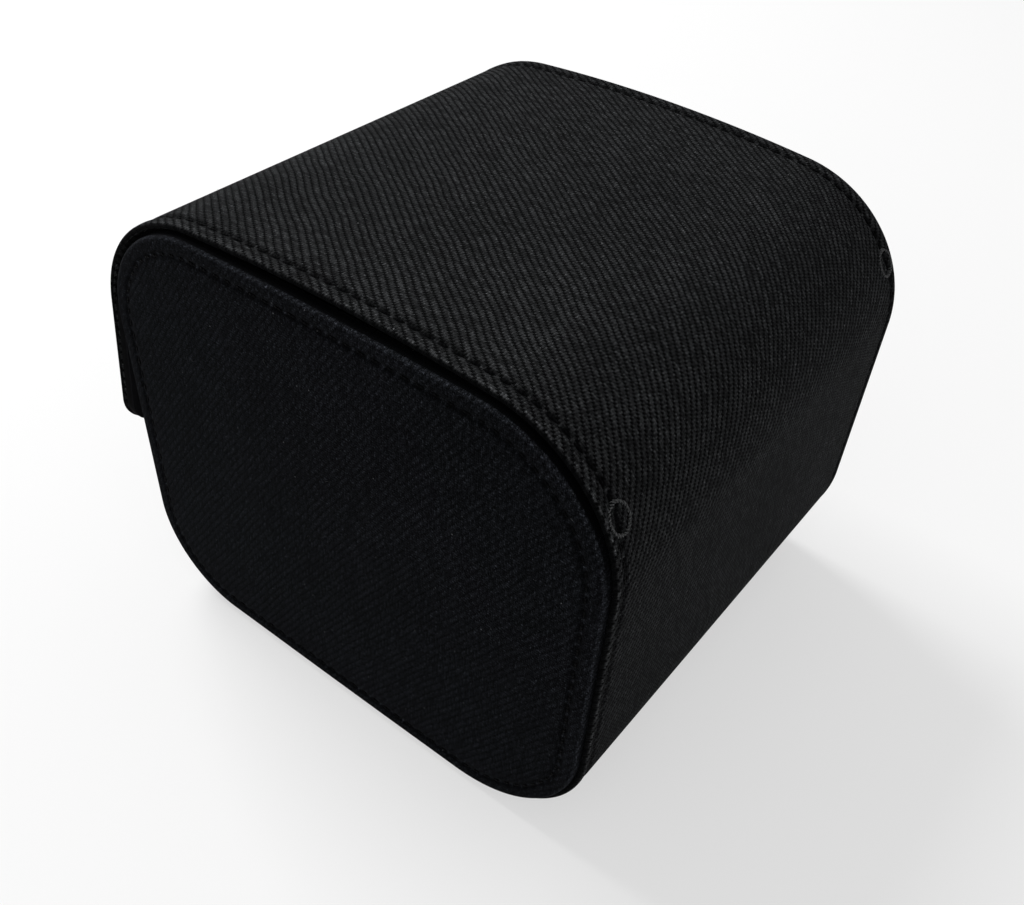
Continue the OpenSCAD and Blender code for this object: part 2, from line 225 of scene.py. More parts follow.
@dataclass(frozen=True)
class SideProfile:
    """The case seen from its end: outlines in the Y-Z plane, outside of the cloth."""

    back_y: float
    crown_z: float
    foot_y: float = 45.3
    back_top_r: float = 22.9
    back_low_r: float = 22.3
    front_low_r: float = 18.5
    lid_front_r: float = 24.1
    lid_arch_r: float = 320.0
    lid_crown_y: float = 1.0
    wall_lean: float = 2.7
    wall_top_z: float = 54.0
    panel_drop: float = 2.1
    panel_arch_r: float = 700.0
    panel_crown_y: float = 4.0
    panel_back_r: float = 22.4
    panel_front_r: float = 20.0
    tongue_tip_z: float = 28.9
    tongue_lean: float = 6.6
    tongue_tip_gap: float = 4.8
    cover_t: float = 1.0
    inner_t: float = 1.4

    SEARCH_STEPS = 8000
    FAR = 1e3

    @property
    def depth(self) -> float:
        """Thickness of the lid and the tongue."""
        return self.cover_t + self.inner_t

    @property
    def wall_normal(self) -> Array:
        """Outward normal of the front wall."""
        lean = math.radians(self.wall_lean)
        return np.array([-math.cos(lean), -math.sin(lean)])

    @property
    def wall_distance(self) -> float:
        """Distance of the front wall from the origin."""
        return self.foot_y * math.cos(math.radians(self.wall_lean))

    @property
    def front_low_c(self) -> Array:
        """Centre of the front's bottom corner.

        Returns:
            The point (y, z).
        """
        lean = math.radians(self.wall_lean)
        reach = self.wall_distance - self.front_low_r + self.front_low_r * math.sin(lean)
        return np.array([-reach / math.cos(lean), self.front_low_r])

    @property
    def back_low_c(self) -> Array:
        """Centre of the back's bottom corner."""
        return np.array([self.back_y - self.back_low_r, self.back_low_r])

    @property
    def lid_arch_c(self) -> Array:
        """Centre of the lid's arch."""
        return np.array([self.lid_crown_y, self.crown_z - self.lid_arch_r])

    @property
    def back_top_c(self) -> Array:
        """Centre of the back's top corner."""
        return corner_centre(self.lid_arch_c, self.lid_arch_r, BACK_NORMAL, self.back_y, self.back_top_r)

    @property
    def tongue_normal(self) -> Array:
        """Outward normal of the tongue."""
        lean = math.radians(self.tongue_lean)
        return np.array([-math.cos(lean), math.sin(lean)])

    @property
    def tip(self) -> Array:
        """Lower edge of the tongue, on its outside."""
        wall_y, _ = self.wall_point(self.tongue_tip_z)
        return np.array([wall_y - self.tongue_tip_gap - self.depth, self.tongue_tip_z])

    @property
    def lid_front_c(self) -> Array:
        """Centre of the lid's front corner.

        Returns:
            The point (y, z).
        """
        normal = self.tongue_normal
        distance = float(normal @ self.tip)
        return corner_centre(self.lid_arch_c, self.lid_arch_r, normal, distance, self.lid_front_r)

    @property
    def fold(self) -> Array:
        """Where the lid's front corner runs out into the tongue."""
        return self.lid_front_c + self.tongue_normal * self.lid_front_r

    def wall_point(self, z: float) -> Array:
        """A point on the outside of the front wall at a height."""
        return np.array([-self.foot_y - z * math.tan(math.radians(self.wall_lean)), z])

    def strip(self) -> Outline:
        """The strip's outline, from the front wall's top edge to the tongue's tip.

        Returns:
            The outline.
        """
        lean = 180 + self.wall_lean
        back_a = angle_of(self.back_top_c - self.lid_arch_c)
        front_a = angle_of(self.lid_front_c - self.lid_arch_c)
        return Outline([
            Straight(self.wall_point(self.wall_top_z), on_circle(self.front_low_c, self.front_low_r, lean)),
            Bend(self.front_low_c, self.front_low_r, lean, 270),
            Straight(on_circle(self.front_low_c, self.front_low_r, 270),
                     on_circle(self.back_low_c, self.back_low_r, 270)),
            Bend(self.back_low_c, self.back_low_r, 270, 360),
            Straight(on_circle(self.back_low_c, self.back_low_r, 0),
                     on_circle(self.back_top_c, self.back_top_r, 0)),
            Bend(self.back_top_c, self.back_top_r, 0, back_a),
            Bend(self.lid_arch_c, self.lid_arch_r, back_a, front_a),
            Bend(self.lid_front_c, self.lid_front_r, front_a, 180 - self.tongue_lean),
            Straight(self.fold, self.tip),
        ])

    def panel(self) -> Outline:
        """The closed outline of an end panel's rim, from the front's bottom corner round.

        Returns:
            The outline.
        """
        inset = self.cover_t
        arch = np.array([self.panel_crown_y, self.crown_z - self.panel_drop - self.panel_arch_r])
        back_at, front_at = self.back_y - inset, self.wall_distance - inset
        back = corner_centre(arch, self.panel_arch_r, BACK_NORMAL, back_at, self.panel_back_r)
        front = corner_centre(arch, self.panel_arch_r, self.wall_normal, front_at, self.panel_front_r)
        lean = 180 + self.wall_lean
        back_a, front_a = angle_of(back - arch), angle_of(front - arch)
        low_r, back_r = self.front_low_r - inset, self.back_low_r - inset
        return Outline([
            Bend(self.front_low_c, low_r, lean, 270),
            Straight(on_circle(self.front_low_c, low_r, 270), on_circle(self.back_low_c, back_r, 270)),
            Bend(self.back_low_c, back_r, 270, 360),
            Straight(on_circle(self.back_low_c, back_r, 0), on_circle(back, self.panel_back_r, 0)),
            Bend(back, self.panel_back_r, 0, back_a),
            Bend(arch, self.panel_arch_r, back_a, front_a),
            Bend(front, self.panel_front_r, front_a, lean),
            Straight(on_circle(front, self.panel_front_r, lean), on_circle(self.front_low_c, low_r, lean)),
        ])

    def run_to(self, outline: Outline, y: float, above: float) -> float:
        """Distance along an outline to where it passes a place on the top.

        Args:
            outline: The outline to follow.
            y: The Y of the place.
            above: Only places higher than this count.

        Returns:
            The distance from the outline's start.
        """
        run = np.linspace(0, outline.length, self.SEARCH_STEPS)
        points, _ = outline.at(run)
        off = np.abs(points[:, 0] - y) + np.where(points[:, 1] < above, self.FAR, 0)
        return float(run[off.argmin()])


# ---------------------------------------------------------------- meshes


@dataclass
class Faces:
    """Points, faces and flat coordinates of a piece that is being built."""

    points: Array
    quads: Array
    flat: Array
    caps: list[tuple[int, ...]] = field(default_factory=list)
    # Masks at the points: painted highlight along folded edges and puckers, and painted shade at seams, edge
    # walls and turned edges
    edge: Array | None = None
    seam: Array | None = None

    def joined(self, other: "Faces") -> "Faces":
        """This piece and another as one.

        Args:
            other: The piece to add, whose faces are renumbered.

        Returns:
            The joined piece.
        """
        shift = len(self.points)
        return Faces(
            np.concatenate([self.points, other.points]),
            np.concatenate([self.quads, other.quads + shift]),
            np.concatenate([self.flat, other.flat]),
            self.caps + [tuple(i + shift for i in cap) for cap in other.caps],
        )


def grid_quads(rows: int, columns: int, close: bool = False) -> Array:
    """Faces of a grid of points that are numbered row by row.

    Args:
        rows: Number of rows.
        columns: Number of columns.
        close: Joins each row's last point to its first.

    Returns:
        The faces, of shape (n, 4).
    """
    at = np.arange(rows * columns).reshape(rows, columns)
    if close:
        at = np.concatenate([at, at[:, :1]], axis=1)
    return np.stack([at[:-1, :-1], at[:-1, 1:], at[1:, 1:], at[1:, :-1]], axis=-1).reshape(-1, 4)


def outwards(shape: Faces) -> Faces:
    """Turns a closed shape's faces to look outwards.

    Args:
        shape: The shape, which is changed.

    Returns:
        The same shape.
    """
    halves = [shape.quads[:, [0, 1, 2]], shape.quads[:, [0, 2, 3]]]
    fans = [(cap[0], cap[i], cap[i + 1]) for cap in shape.caps for i in range(1, len(cap) - 1)]
    triangles = np.concatenate([*halves, np.array(fans, int).reshape(-1, 3)])
    a, b, c = (shape.points[triangles[:, i]] for i in range(3))
    if np.einsum("ij,ij->", a, np.cross(b, c)) < 0:
        shape.quads = shape.quads[:, ::-1]
        shape.caps = [tuple(reversed(cap)) for cap in shape.caps]
    return shape


def stack_rings(rings: Array, flat: Array, ends: Array | None = None) -> Faces:
    """A closed solid from rings of points, one after the other.

    Args:
        rings: The rings, of shape (rings, points, 3).
        flat: Their flat coordinates, of shape (rings, points, 2).
        ends: The two middle points that close it, or none for flat ends.

    Returns:
        The solid.
    """
    rows, size, _ = rings.shape
    points, flats = rings.reshape(-1, 3), flat.reshape(-1, 2)
    last = (rows - 1) * size
    if ends is None:
        caps = [tuple(reversed(range(size))), tuple(range(last, last + size))]
    else:
        count = len(points)
        points = np.concatenate([points, ends])
        flats = np.concatenate([flats, flat[0].mean(axis=0)[None], flat[-1].mean(axis=0)[None]])
        after = np.roll(np.arange(size), -1)
        caps = [(int(j), i, count) for i, j in enumerate(after)]
        caps += [(last + i, last + int(j), count + 1) for i, j in enumerate(after)]
    return outwards(Faces(points, grid_quads(rows, size, close=True), flats, caps))


def closed_sheet(outer: Array, inner: Array, flat: Array, rims: Sequence[Array] = ()) -> Faces:
    """A sheet with two faces, joined round its edges.

    Args:
        outer: Points of its outer face, of shape (rows, columns, 3).
        inner: Points of its inner face, of the same shape.
        flat: Flat coordinates, of shape (rows, columns, 2).
        rims: Rings of points between the two, each in the order of edge_ring.

    Returns:
        The sheet.
    """
    rows, columns, _ = outer.shape
    count = rows * columns
    ring = edge_ring(rows, columns)
    face = grid_quads(rows, columns)
    between = [2 * count + i * len(ring) + np.arange(len(ring)) for i in range(len(rims))]
    loops = [ring, *between, ring + count]
    sides = [np.stack([near, far, np.roll(far, -1), np.roll(near, -1)], axis=1)
             for near, far in zip(loops, loops[1:])]
    flats = flat.reshape(-1, 2)
    points = np.concatenate([outer.reshape(-1, 3), inner.reshape(-1, 3), *rims])
    uv = np.concatenate([flats, flats + INNER_SHIFT, *(flats[ring] for _ in rims)])
    return outwards(Faces(points, np.concatenate([face, face[:, ::-1] + count, *sides]), uv))


def edge_ring(rows: int, columns: int) -> Array:
    """Numbers of a grid's points round its edge, in order."""
    at = np.arange(rows * columns).reshape(rows, columns)
    return np.concatenate([at[0], at[1:, -1], at[-1, -2::-1], at[-2:0:-1, 0]])


def make_piece(name: str, shape: Faces, material: bpy.types.Material,
               smooth_to: float = 50.0) -> bpy.types.Object:
    """Makes a Blender object from points in millimetres.

    Args:
        name: The piece's name.
        shape: Its points, faces and flat coordinates.
        material: Its finish.
        smooth_to: Edges that turn more than this many degrees stay sharp.

    Returns:
        The new object, in metres.
    """
    mesh = bpy.data.meshes.new(name)
    points = shape.points * MM
    points[:, 2] = np.maximum(points[:, 2], 0.0)
    mesh.from_pydata(points.tolist(), [], shape.quads.tolist() + shape.caps)
    mesh.update()
    corners = np.empty(len(mesh.loops), np.int32)
    mesh.loops.foreach_get("vertex_index", corners)
    layer = mesh.uv_layers.new(name=UV_MAP)
    layer.data.foreach_set("uv", shape.flat[corners].astype(np.float32).ravel())
    for key, values in ((EDGE_HIGHLIGHT_MASK, shape.edge), (SEAM_MASK, shape.seam)):
        if values is not None:
            mask = mesh.attributes.new(key, "FLOAT", "POINT")
            mask.data.foreach_set("value", values.astype(np.float32))
    mesh.shade_smooth()
    mesh.set_sharp_from_angle(angle=math.radians(smooth_to))
    mesh.materials.append(material)
    piece = bpy.data.objects.new(name, mesh)
    bpy.context.scene.collection.objects.link(piece)
    return piece


class Surface(Protocol):
    """A face of the case on which flat coordinates are laid out."""

    def place(self, flat: Array, depth: Array) -> Array:
        """Points at flat coordinates, some depth below the cloth's face."""
        ...


@dataclass(frozen=True)
class StripSurface:
    """The strip's outer face: X across and the length along the outline."""

    outline: Outline

    def place(self, flat: Array, depth: Array) -> Array:
        """Points on the strip.

        Args:
            flat: Places (x, run) with a last axis of two numbers.
            depth: Depths below the outer face.

        Returns:
            The points (x, y, z).
        """
        points, normals = self.outline.at(flat[..., 1])
        low = points - normals * np.asarray(depth)[..., None]
        return np.concatenate([flat[..., :1], low], axis=-1)


@dataclass(frozen=True)
class PanelSurface:
    """An end panel's outer face: Y and Z, with a slight crown in its middle."""

    face_x: float
    side: Side
    crown: float
    middle: tuple[float, float]
    reach: float

    def place(self, flat: Array, depth: Array) -> Array:
        """Points on the panel.

        Args:
            flat: Places (y, z) with a last axis of two numbers.
            depth: Depths below the outer face.

        Returns:
            The points (x, y, z).
        """
        off = np.linalg.norm(flat - np.array(self.middle), axis=-1) / self.reach
        swell = self.crown * np.clip(1 - off**2, 0, None) ** 1.5
        x = self.side.value * (self.face_x + swell - np.asarray(depth))
        return np.concatenate([x[..., None], flat], axis=-1)


# ---------------------------------------------------------------- finishes

# Places of a colour Mix node's sockets
MIX_A, MIX_B, MIX_RESULT = 6, 7, 2
# The middle of a noise's range, where nearly all of its values lie
MIDDLE = (0.25, 0.75)
HALF = (0.5, 0.5, 0.5)


@dataclass(frozen=True)
class Grain:
    """A noise: how fine it is, its detail, its roughness and the stretch of its coordinates."""

    scale: float
    detail: float = 2.0
    rough: float = 0.5
    stretch: tuple[float, float, float] | None = None


class NodeBench:
    """A short way to wire a material's nodes."""

    def __init__(self, name: str) -> None:
        """Makes an empty material with a Principled shader.

        Args:
            name: The material's name.
        """
        self.material = bpy.data.materials.new(name)
        self.material.use_nodes = True
        self.tree = self.material.node_tree
        self.shader = self.tree.nodes["Principled BSDF"]

    def node(self, kind: str, **settings: object) -> bpy.types.Node:
        """Adds a node.

        Args:
            kind: The node's type, without its ShaderNode prefix.
            **settings: Properties to set on it.

        Returns:
            The node.
        """
        made = self.tree.nodes.new(f"ShaderNode{kind}")
        for key, value in settings.items():
            setattr(made, key, value)
        return made

    def feed(self, socket: Socket, value: Socket | float | tuple) -> None:
        """Links a socket to an output, or sets its own value.

        Args:
            socket: The socket.
            value: The output, or a value of the socket's kind. A colour has three numbers.
        """
        if isinstance(value, bpy.types.NodeSocket):
            self.tree.links.new(value, socket)
        else:
            socket.default_value = (*value, 1.0) if socket.type == "RGBA" else value

    def maths(self, operation: str, a: Socket | float, b: Socket | float = 0.0) -> Socket:
        """The result of one Math node.

        Args:
            operation: What it does, such as SUBTRACT.
            a: Its first value.
            b: Its second value.

        Returns:
            The output socket.
        """
        made = self.node("Math", operation=operation)
        self.feed(made.inputs[0], a)
        self.feed(made.inputs[1], b)
        return made.outputs[0]

    def plus(self, a: Socket | float, b: Socket | float) -> Socket:
        """The sum of two values."""
        return self.maths("ADD", a, b)

    def minus(self, a: Socket | float, b: Socket | float) -> Socket:
        """One value less another."""
        return self.maths("SUBTRACT", a, b)

    def times(self, first: Socket | float, *others: Socket | float) -> Socket:
        """The product of values.

        Args:
            first: The first value.
            *others: The others, taken in one after the other.

        Returns:
            The output socket.
        """
        total = first
        for other in others:
            total = self.maths("MULTIPLY", total, other)
        return total

    def vector(self, operation: str, a: Socket | tuple, b: Socket | tuple) -> Socket:
        """The vector result of one Vector Math node.

        Args:
            operation: What it does, such as ADD.
            a: Its first vector.
            b: Its second vector.

        Returns:
            The output socket.
        """
        made = self.node("VectorMath", operation=operation)
        self.feed(made.inputs[0], a)
        self.feed(made.inputs[1], b)
        return made.outputs[0]

    def split(self, vector: Socket) -> bpy.types.NodeOutputs:
        """The X, Y and Z outputs of a vector.

        Args:
            vector: The vector.

        Returns:
            The outputs.
        """
        made = self.node("SeparateXYZ")
        self.feed(made.inputs[0], vector)
        return made.outputs

    def flat(self) -> Socket:
        """The cloth's flat coordinates, in millimetres."""
        return self.node("UVMap", uv_map=UV_MAP).outputs[0]

    def place(self) -> Socket:
        """The place on the object, in metres."""
        return self.node("TexCoord").outputs["Object"]

    def mask(self, name: str) -> Socket:
        """One of the masks that are stored at the mesh's points."""
        return self.node("Attribute", attribute_name=name, attribute_type="GEOMETRY").outputs["Fac"]

    def noise(self, where: Socket, grain: Grain, output: str = "Fac") -> Socket:
        """One noise.

        Args:
            where: Its coordinates.
            grain: Its size and detail.
            output: Which output is wanted, Fac or Color.

        Returns:
            The output socket.
        """
        if grain.stretch is not None:
            where = self.vector("MULTIPLY", where, grain.stretch)
        made = self.node("TexNoise")
        self.feed(made.inputs["Vector"], where)
        made.inputs["Scale"].default_value = grain.scale
        made.inputs["Detail"].default_value = grain.detail
        made.inputs["Roughness"].default_value = grain.rough
        return made.outputs[output]

    def spread(self, value: Socket, low: float, high: float, to_low: float = 0.0,
               to_high: float = 1.0) -> Socket:
        """Maps a value smoothly from one range to another.

        Args:
            value: The value.
            low: Where the range starts.
            high: Where it ends.
            to_low: What the start becomes.
            to_high: What the end becomes.

        Returns:
            The output socket.
        """
        made = self.node("MapRange", interpolation_type="SMOOTHSTEP")
        self.feed(made.inputs["Value"], value)
        for key, number in (("From Min", low), ("From Max", high), ("To Min", to_low), ("To Max", to_high)):
            made.inputs[key].default_value = number
        return made.outputs["Result"]

    def blend(self, share: Socket | float, a: Socket | Colour, b: Socket | Colour,
              kind: str = "MIX") -> Socket:
        """Mixes two colours.

        Args:
            share: From 0, all a, to 1, all b.
            a: The first colour.
            b: The second colour.
            kind: The way of mixing.

        Returns:
            The mixed colour.
        """
        made = self.node("Mix", data_type="RGBA", blend_type=kind)
        self.feed(made.inputs["Factor"], share)
        self.feed(made.inputs[MIX_A], a)
        self.feed(made.inputs[MIX_B], b)
        return made.outputs[MIX_RESULT]

    def finish(self, colour: Socket | Colour, rough: Socket | float, height: Socket, relief: float,
               **fixed: float | tuple) -> bpy.types.Material:
        """Wires the shader and gives the material.

        Args:
            colour: Base colour.
            rough: Roughness.
            height: Height of the surface's relief, 0 to 1.
            relief: What a height of 1 stands for, in millimetres.
            **fixed: Values set on the shader's own sockets, with _ for a space.

        Returns:
            The material.
        """
        bump = self.node("Bump")
        bump.inputs["Distance"].default_value = relief * MM
        self.feed(bump.inputs["Height"], height)
        self.feed(self.shader.inputs["Normal"], bump.outputs[0])
        self.feed(self.shader.inputs["Base Color"], colour)
        self.feed(self.shader.inputs["Roughness"], rough)
        for key, value in fixed.items():
            self.shader.inputs[key.replace("_", " ")].default_value = value
        return self.material


@dataclass(frozen=True)
class WarpTwill:
    """Heavy three-and-one twill: each warp yarn passes over three wefts and under the fourth."""

    name: str
    # The yarns' colour on their crests, and a near-black groove colour that paints shade into the weave's
    # low places and the seams
    crest: Colour
    groove: Colour
    warp_pitch: float = 0.338
    weft_pitch: float = 0.4545
    relief: float = 0.17
    weft_sink: float = 0.22
    weft_shade: float = 0.85
    pit: tuple[float, float] = (0.290, 0.150)
    pit_depth: float = 0.95
    lit_range: tuple[float, float] = (-0.05, 0.85)
    crimp: float = 0.34
    seam_shade: float = 0.92
    ramp: float = 0.32
    fuzz: float = 2.6
    # How much the painted highlight brightens the cloth along folded edges and puckers
    highlight_gain: float = 0.6
    roughness: float = 0.85
    specular: float = 0.02
    sheen: float = 0.006
    speck: Colour = (0.125, 0.128, 0.132)

    # The sine below which a yarn of a three-and-one twill is under
    UNDER = 0.7071
    # Share of a step by which the sine's low quarter is moved to the step's end
    PHASE = 0.125
    # How sharply a yarn's height falls to its sides
    ROUNDNESS = 3.6
    # Place of the pits in a step, and how far their long axis leans, as cosine and sine
    PIT_AT = 0.375
    PIT_LEAN = (0.91, 0.41)
    STEP = 4
    # Slow drift and quick shake of the yarns: the noise, and its reach in millimetres
    WANDER = ((Grain(0.07), (1.3, 1.3, 0.0)), (Grain(1.3, 1.0), (0.14, 0.16, 0.0)))
    STREAKS = Grain(1.0, 3.0, 0.65, (7.0, 4.0, 1.0))
    PATCHES = Grain(0.05, 3.0)
    CLUMPS = Grain(1.1, 3.0, 0.65)
    FLUFF = Grain(3.0, 2.0, 0.65)
    FIBRES = Grain(2.6, 3.0, 0.7)
    # Brightness between which each of these varies the cloth
    PATCH_TONE = (0.88, 1.10)
    CLUMP_TONE = (0.62, 1.40)
    YARN_TONE = (0.62, 1.38)
    STREAK_TONE = (0.70, 1.30)
    PIT_RANGE = (0.0, 0.85)
    # Fluffy tufts: their range in the noise, how steeply they stand out, and the tone between them
    TUFT_RANGE = (0.40, 0.80)
    TUFT_POWER = 2.0
    BETWEEN_TUFTS = 0.70
    # Pale fibres where the edge mask lies: partly frayed fibres, partly painted highlight on folded edges
    # and puckers
    FRAY_AND_HIGHLIGHT_RANGE = (0.52, 0.78)
    FRAY_AND_HIGHLIGHT = 0.35
    ROUGH_RANGE = 0.08
    STREAK_HEIGHT = 0.25
    # Lint specks: cells per millimetre, radius range in cells, and the share of cells that have one
    SPECK_CELLS = 0.5
    SPECK_R = (0.035, 0.075)
    SPECK_CHOICE = (0.50, 1.0)

    def yarn(self, bench: NodeBench, phase: Socket, across: Socket, over: float) -> Socket:
        """Height of one set of yarns.

        Args:
            bench: Where its nodes go.
            phase: How far along its over-and-under step the yarn is, in whole steps.
            across: Place across the yarn, from -0.5 to 0.5.
            over: 1 where the first three quarters of a step are over, -1 where they are under.

        Returns:
            The height, at most 1.
        """
        wave = bench.maths("SINE", bench.times(bench.minus(phase, self.PHASE), math.tau))
        lift = bench.spread(wave, -self.UNDER - self.ramp, -self.UNDER + self.ramp, -0.5 * over, 0.5 * over)
        fall = bench.times(bench.times(across, across), self.ROUNDNESS)
        bulge = bench.maths("SQRT", bench.minus(1.0, fall))
        return bench.plus(lift, bench.times(bulge, 0.5))

    def pits(self, bench: NodeBench, warp: Socket, weft_no: Socket, weft_in: Socket) -> Socket:
        """Pits where the warp yarns dive, one in each row of every four, darkened in the colour as painted
        shade.

        Args:
            bench: Where its nodes go.
            warp: Place across the warp, in yarns.
            weft_no: Number of the weft yarn.
            weft_in: Place across that weft yarn, from -0.5 to 0.5.

        Returns:
            Their mask, 1 in a pit's middle.
        """
        step = bench.times(bench.plus(warp, weft_no), 1 / self.STEP)
        off = bench.minus(bench.maths("FRACT", bench.minus(step, self.PIT_AT)), 0.5)
        x = bench.times(off, self.STEP * self.warp_pitch)
        y = bench.times(weft_in, self.weft_pitch)
        c, s = self.PIT_LEAN
        squares = []
        for size, across, up in ((self.pit[0], c, s), (self.pit[1], -s, c)):
            reach = bench.plus(bench.times(x, across / size), bench.times(y, up / size))
            squares.append(bench.times(reach, reach))
        return bench.maths("EXPONENT", bench.times(bench.plus(*squares), -1.0))

    def dip(self, bench: NodeBench, along: Socket) -> Socket:
        """How far a yarn is pinched where it goes from one crossing to the next."""
        return bench.times(bench.times(along, along), 4 * self.crimp)

    def weave(self, bench: NodeBench, flat: Socket) -> tuple[Socket, Socket, Socket, Socket]:
        """The twill's relief.

        Args:
            bench: Where its nodes go.
            flat: Flat coordinates, in millimetres.

        Returns:
            The height, 1 where a warp yarn is on top, a random number for each float, and the pits.
        """
        place = flat
        for grain, reach in self.WANDER:
            off = bench.vector("SUBTRACT", bench.noise(flat, grain, "Color"), HALF)
            place = bench.vector("ADD", place, bench.vector("MULTIPLY", off, reach))
        x, y, _ = bench.split(place)
        warp, weft = bench.maths("DIVIDE", x, self.warp_pitch), bench.maths("DIVIDE", y, self.weft_pitch)
        warp_no, weft_no = bench.maths("FLOOR", warp), bench.maths("FLOOR", weft)
        warp_in = bench.minus(bench.minus(warp, warp_no), 0.5)
        weft_in = bench.minus(bench.minus(weft, weft_no), 0.5)
        warp_step = bench.times(bench.plus(warp_no, weft), 1 / self.STEP)
        weft_step = bench.times(bench.plus(warp, weft_no), 1 / self.STEP)
        high = bench.minus(self.yarn(bench, warp_step, warp_in, 1.0), self.dip(bench, weft_in))
        sunk = bench.plus(self.dip(bench, warp_in), self.weft_sink)
        low = bench.minus(self.yarn(bench, weft_step, weft_in, -1.0), sunk)
        on_top = bench.maths("GREATER_THAN", high, low)
        chance = []
        for number, step in ((warp_no, warp_step), (weft_no, weft_step)):
            cell = bench.node("CombineXYZ")
            bench.feed(cell.inputs[0], number)
            bench.feed(cell.inputs[1], bench.maths("FLOOR", step))
            dice = bench.node("TexWhiteNoise", noise_dimensions="2D")
            bench.feed(dice.inputs["Vector"], cell.outputs[0])
            chance.append(dice.outputs["Value"])
        picked = bench.plus(bench.times(chance[0], on_top), bench.times(chance[1], bench.minus(1.0, on_top)))
        pits = self.pits(bench, warp, weft_no, weft_in)
        top = bench.minus(bench.maths("MAXIMUM", high, low), bench.times(pits, 0.5 * self.pit_depth))
        return top, on_top, picked, pits

    def material(self) -> bpy.types.Material:
        """Makes the cloth's material.

        Returns:
            The material.
        """
        bench = NodeBench(self.name)
        flat = bench.flat()
        height, on_top, picked, pits = self.weave(bench, flat)
        streaks, clumps = bench.noise(flat, self.STREAKS), bench.noise(flat, self.CLUMPS)
        tufts = bench.spread(bench.noise(flat, self.FLUFF), *self.TUFT_RANGE)
        lit = bench.mask(EDGE_HIGHLIGHT_MASK)
        tone = bench.times(
            bench.spread(bench.noise(flat, self.PATCHES), *MIDDLE, *self.PATCH_TONE),
            bench.spread(clumps, *MIDDLE, *self.CLUMP_TONE),
            bench.spread(picked, 0.0, 1.0, *self.YARN_TONE),
            bench.spread(streaks, *MIDDLE, *self.STREAK_TONE),
            # Painted shade: weft floats darker than warp floats, and the pits where the warp dives darker
            # still
            bench.spread(on_top, 0.0, 1.0, self.weft_shade, 1.0),
            bench.spread(pits, *self.PIT_RANGE, 1.0, 1.0 - self.pit_depth),
            bench.plus(self.BETWEEN_TUFTS,
                       bench.times(bench.maths("POWER", tufts, self.TUFT_POWER), self.fuzz)),
            # Painted highlight: brighter along folded edges and on the puckers between stitches
            bench.plus(1.0, bench.times(lit, self.highlight_gain)),
        )
        shade = bench.node("CombineXYZ")
        for i in range(3):
            bench.feed(shade.inputs[i], tone)
        # Painted shade: the weave's low places take the dark groove colour and its crests the crest colour
        colour = bench.blend(bench.spread(height, *self.lit_range), self.groove, self.crest)
        colour = bench.blend(1.0, colour, shade.outputs[0], "MULTIPLY")
        # Pale fibres under the edge mask, partly frayed fibres and partly painted highlight
        frayed_and_lit = bench.times(lit, bench.spread(bench.noise(flat, self.FIBRES), *self.FRAY_AND_HIGHLIGHT_RANGE))
        colour = bench.blend(bench.times(frayed_and_lit, self.FRAY_AND_HIGHLIGHT), colour, self.speck)
        # Painted shade along the stitches, on the sides of cut edges and on the panels' edge walls
        colour = bench.blend(bench.times(bench.mask(SEAM_MASK), self.seam_shade), colour, self.groove)
        colour = bench.blend(self.specks(bench, flat), colour, self.speck)
        rough = bench.spread(clumps, 0.2, 0.8, self.roughness - self.ROUGH_RANGE,
                             self.roughness + self.ROUGH_RANGE)
        height = bench.plus(height, bench.times(streaks, self.STREAK_HEIGHT))
        return bench.finish(colour, rough, height, self.relief, Specular_IOR_Level=self.specular,
                            Sheen_Weight=self.sheen, Sheen_Roughness=0.5, Sheen_Tint=(0.8, 0.85, 0.95, 1.0))

    def specks(self, bench: NodeBench, flat: Socket) -> Socket:
        """Tiny lint specks, a few in every square centimetre.

        Args:
            bench: Where its nodes go.
            flat: Flat coordinates, in millimetres.

        Returns:
            Their mask, 0 to 1.
        """
        cells = bench.node("TexVoronoi", feature="F1")
        bench.feed(cells.inputs["Vector"], bench.vector("MULTIPLY", flat, (1.0, 1.0, 0.0)))
        cells.inputs["Scale"].default_value = self.SPECK_CELLS
        cells.inputs["Randomness"].default_value = 1.0
        pick = bench.node("SeparateColor")
        bench.feed(pick.inputs[0], cells.outputs["Color"])
        near = bench.spread(cells.outputs["Distance"], *self.SPECK_R, 1.0, 0.0)
        return bench.times(near, bench.spread(pick.outputs[0], *self.SPECK_CHOICE))


